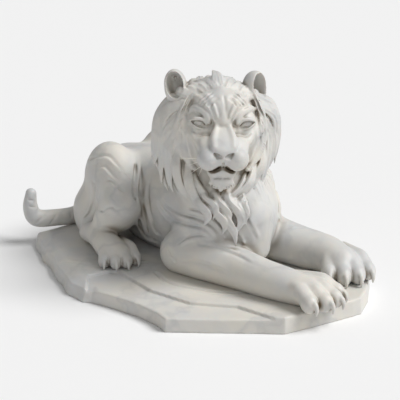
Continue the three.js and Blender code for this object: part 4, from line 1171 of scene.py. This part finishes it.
def mixed(tree, amount, first, second):
    """A link and a plain colour, blended by a link. A colour mix has these as 0, 6 and 7."""
    node = add_node(tree, "ShaderNodeMix", data_type="RGBA")
    tree.links.new(amount, node.inputs[0])
    tree.links.new(first, node.inputs[6])
    node.inputs[7].default_value = second
    return node.outputs[2]


# %% The marble
def marble(name, with_dirt_and_shade):
    material = bpy.data.materials.new(name)
    material.use_nodes = True
    tree = material.node_tree
    shader = tree.nodes["Principled BSDF"]
    place = add_node(tree, "ShaderNodeTexCoord").outputs["Object"]
    warp = add_node(tree, "ShaderNodeTexNoise", {"Vector": place}, Scale=3.0, Detail=4.0)
    clouds = add_node(tree, "ShaderNodeTexNoise", {"Vector": place}, Scale=5.0, Detail=6.0, Roughness=0.6)
    veins = add_node(tree, "ShaderNodeTexNoise", {"Vector": warp.outputs["Color"]}, Scale=2.2, Detail=5.0)
    base = ramp(tree, clouds.outputs["Fac"], ((0.35, colour(MARBLE_COOL)), (0.62, colour(MARBLE))))
    line = ramp(tree, veins.outputs["Fac"], ((0.44, grey(0)), (0.50, grey(0.3)), (0.56, grey(0))))
    result = mixed(tree, line, base, colour(VEIN))
    if with_dirt_and_shade:
        # hollows tinted warm brown, deeper ones more: partly dirt, partly painted shade
        depth = add_node(tree, "ShaderNodeAttribute", attribute_name="recess_dirt_and_shade").outputs["Fac"]
        hollow_dirt_shade = ramp(tree, depth, ((0.20, grey(0)), (0.42, grey(0.32)), (0.75, grey(1))))
        cloud = add_node(tree, "ShaderNodeTexNoise", {"Vector": place}, Scale=2.2, Detail=3.0)
        patch = ramp(tree, cloud.outputs["Fac"], ((0.3, grey(0.5)), (0.7, grey(1))))
        amount = add_node(tree, "ShaderNodeMath", {0: hollow_dirt_shade, 1: patch}, operation="MULTIPLY")
        result = mixed(tree, amount.outputs[0], result, colour(DIRT_AND_SHADE_BROWN))
    tree.links.new(result, shader.inputs["Base Color"])
    hone = add_node(tree, "ShaderNodeTexNoise", {"Vector": place}, Scale=40.0, Detail=5.0)
    rough = ramp(tree, hone.outputs["Fac"], ((0.3, grey(0.40)), (0.7, grey(0.56))))
    tree.links.new(rough, shader.inputs["Roughness"])
    grain = add_node(tree, "ShaderNodeTexNoise", {"Vector": place}, Scale=260.0, Detail=4.0)
    bump = add_node(tree, "ShaderNodeBump", {"Height": grain.outputs["Fac"]}, Strength=0.12, Distance=0.002)
    tree.links.new(bump.outputs["Normal"], shader.inputs["Normal"])
    shader.inputs["Specular IOR Level"].default_value = 0.45
    shader.inputs["Subsurface Weight"].default_value = 0.06
    shader.inputs["Subsurface Scale"].default_value = 0.012
    return material


def finish_with(piece, material):
    piece.data.materials.clear()
    piece.data.materials.append(material)


# the cat's marble gets painted shade and dirt in its hollows; the slab's does not
finish_with(cat, marble("honed white marble", True))
finish_with(slab, marble("slab marble", False))


# %% Whiskers of pale bristle
def bristle():
    material = bpy.data.materials.new("pale bristle")
    material.use_nodes = True
    tree = material.node_tree
    shader = tree.nodes["Principled BSDF"]
    place = add_node(tree, "ShaderNodeTexCoord").outputs["Object"]
    noise = add_node(tree, "ShaderNodeTexNoise", {"Vector": place}, Scale=120.0)
    tone = ramp(tree, noise.outputs["Fac"], ((0.3, colour("#E2DED2")), (0.7, colour("#F4F1E8"))))
    tree.links.new(tone, shader.inputs["Base Color"])
    shader.inputs["Roughness"].default_value = 0.4
    return material


WHISKER_MATERIAL = bristle()
for whisker in whiskers:
    finish_with(whisker, WHISKER_MATERIAL)

# %% [markdown]
# ## Floor, light and camera
#
# A plain pale floor and soft light from high on the right, with the left side in open shade.
# The camera stands a little above the animal, off its right front.

# %% Floor
bpy.ops.object.select_all(action="DESELECT")
bpy.ops.mesh.primitive_plane_add(size=80, location=(0, 0, -0.0005))
floor = bpy.context.object
floor.name = "pale_floor"
floor_material = bpy.data.materials.new("pale floor")
floor_material.use_nodes = True
floor_material.node_tree.nodes["Principled BSDF"].inputs["Base Color"].default_value = colour(FLOOR)
floor_material.node_tree.nodes["Principled BSDF"].inputs["Roughness"].default_value = 0.9
finish_with(floor, floor_material)

# %% Light
SKY_LIGHT = 0.31
KEY_LIGHT = 2.75
FILL_LIGHT = 0.2
world = bpy.data.worlds.new("studio")
bpy.context.scene.world = world
world.use_nodes = True
world.node_tree.nodes["Background"].inputs["Color"].default_value = (1, 1, 1, 1)
world.node_tree.nodes["Background"].inputs["Strength"].default_value = SKY_LIGHT
bpy.context.scene.view_settings.view_transform = "Standard"


def lamp(name, way, strength, spread):
    """A wide far light: way is the direction from the object to the light."""
    light = bpy.data.lights.new(name, "SUN")
    light.energy = strength
    light.angle = math.radians(spread)
    piece = bpy.data.objects.new(name, light)
    bpy.context.scene.collection.objects.link(piece)
    piece.rotation_euler = Vector(way).to_track_quat("Z", "Y").to_euler()


lamp("key", (0.62, 0.50, 0.95), KEY_LIGHT, 30)
lamp("fill", (0.6, -0.7, 0.5), FILL_LIGHT, 60)

# %% Camera
spot = Vector(placed(VIEW_AIM + BACK * VIEW_DISTANCE))
camera_data = bpy.data.cameras.new("camera")
camera_data.sensor_width = 36
camera_data.lens = 36 * FOCUS / PHOTO_WIDTH
camera = bpy.data.objects.new("camera", camera_data)
bpy.context.scene.collection.objects.link(camera)
camera.matrix_world = Matrix((
    (RIGHT[0], UP[0], BACK[0], spot.x),
    (RIGHT[1], UP[1], BACK[1], spot.y),
    (RIGHT[2], UP[2], BACK[2], spot.z),
    (0, 0, 0, 1),
))
bpy.context.scene.camera = camera
print("lens", round(camera_data.lens, 1))
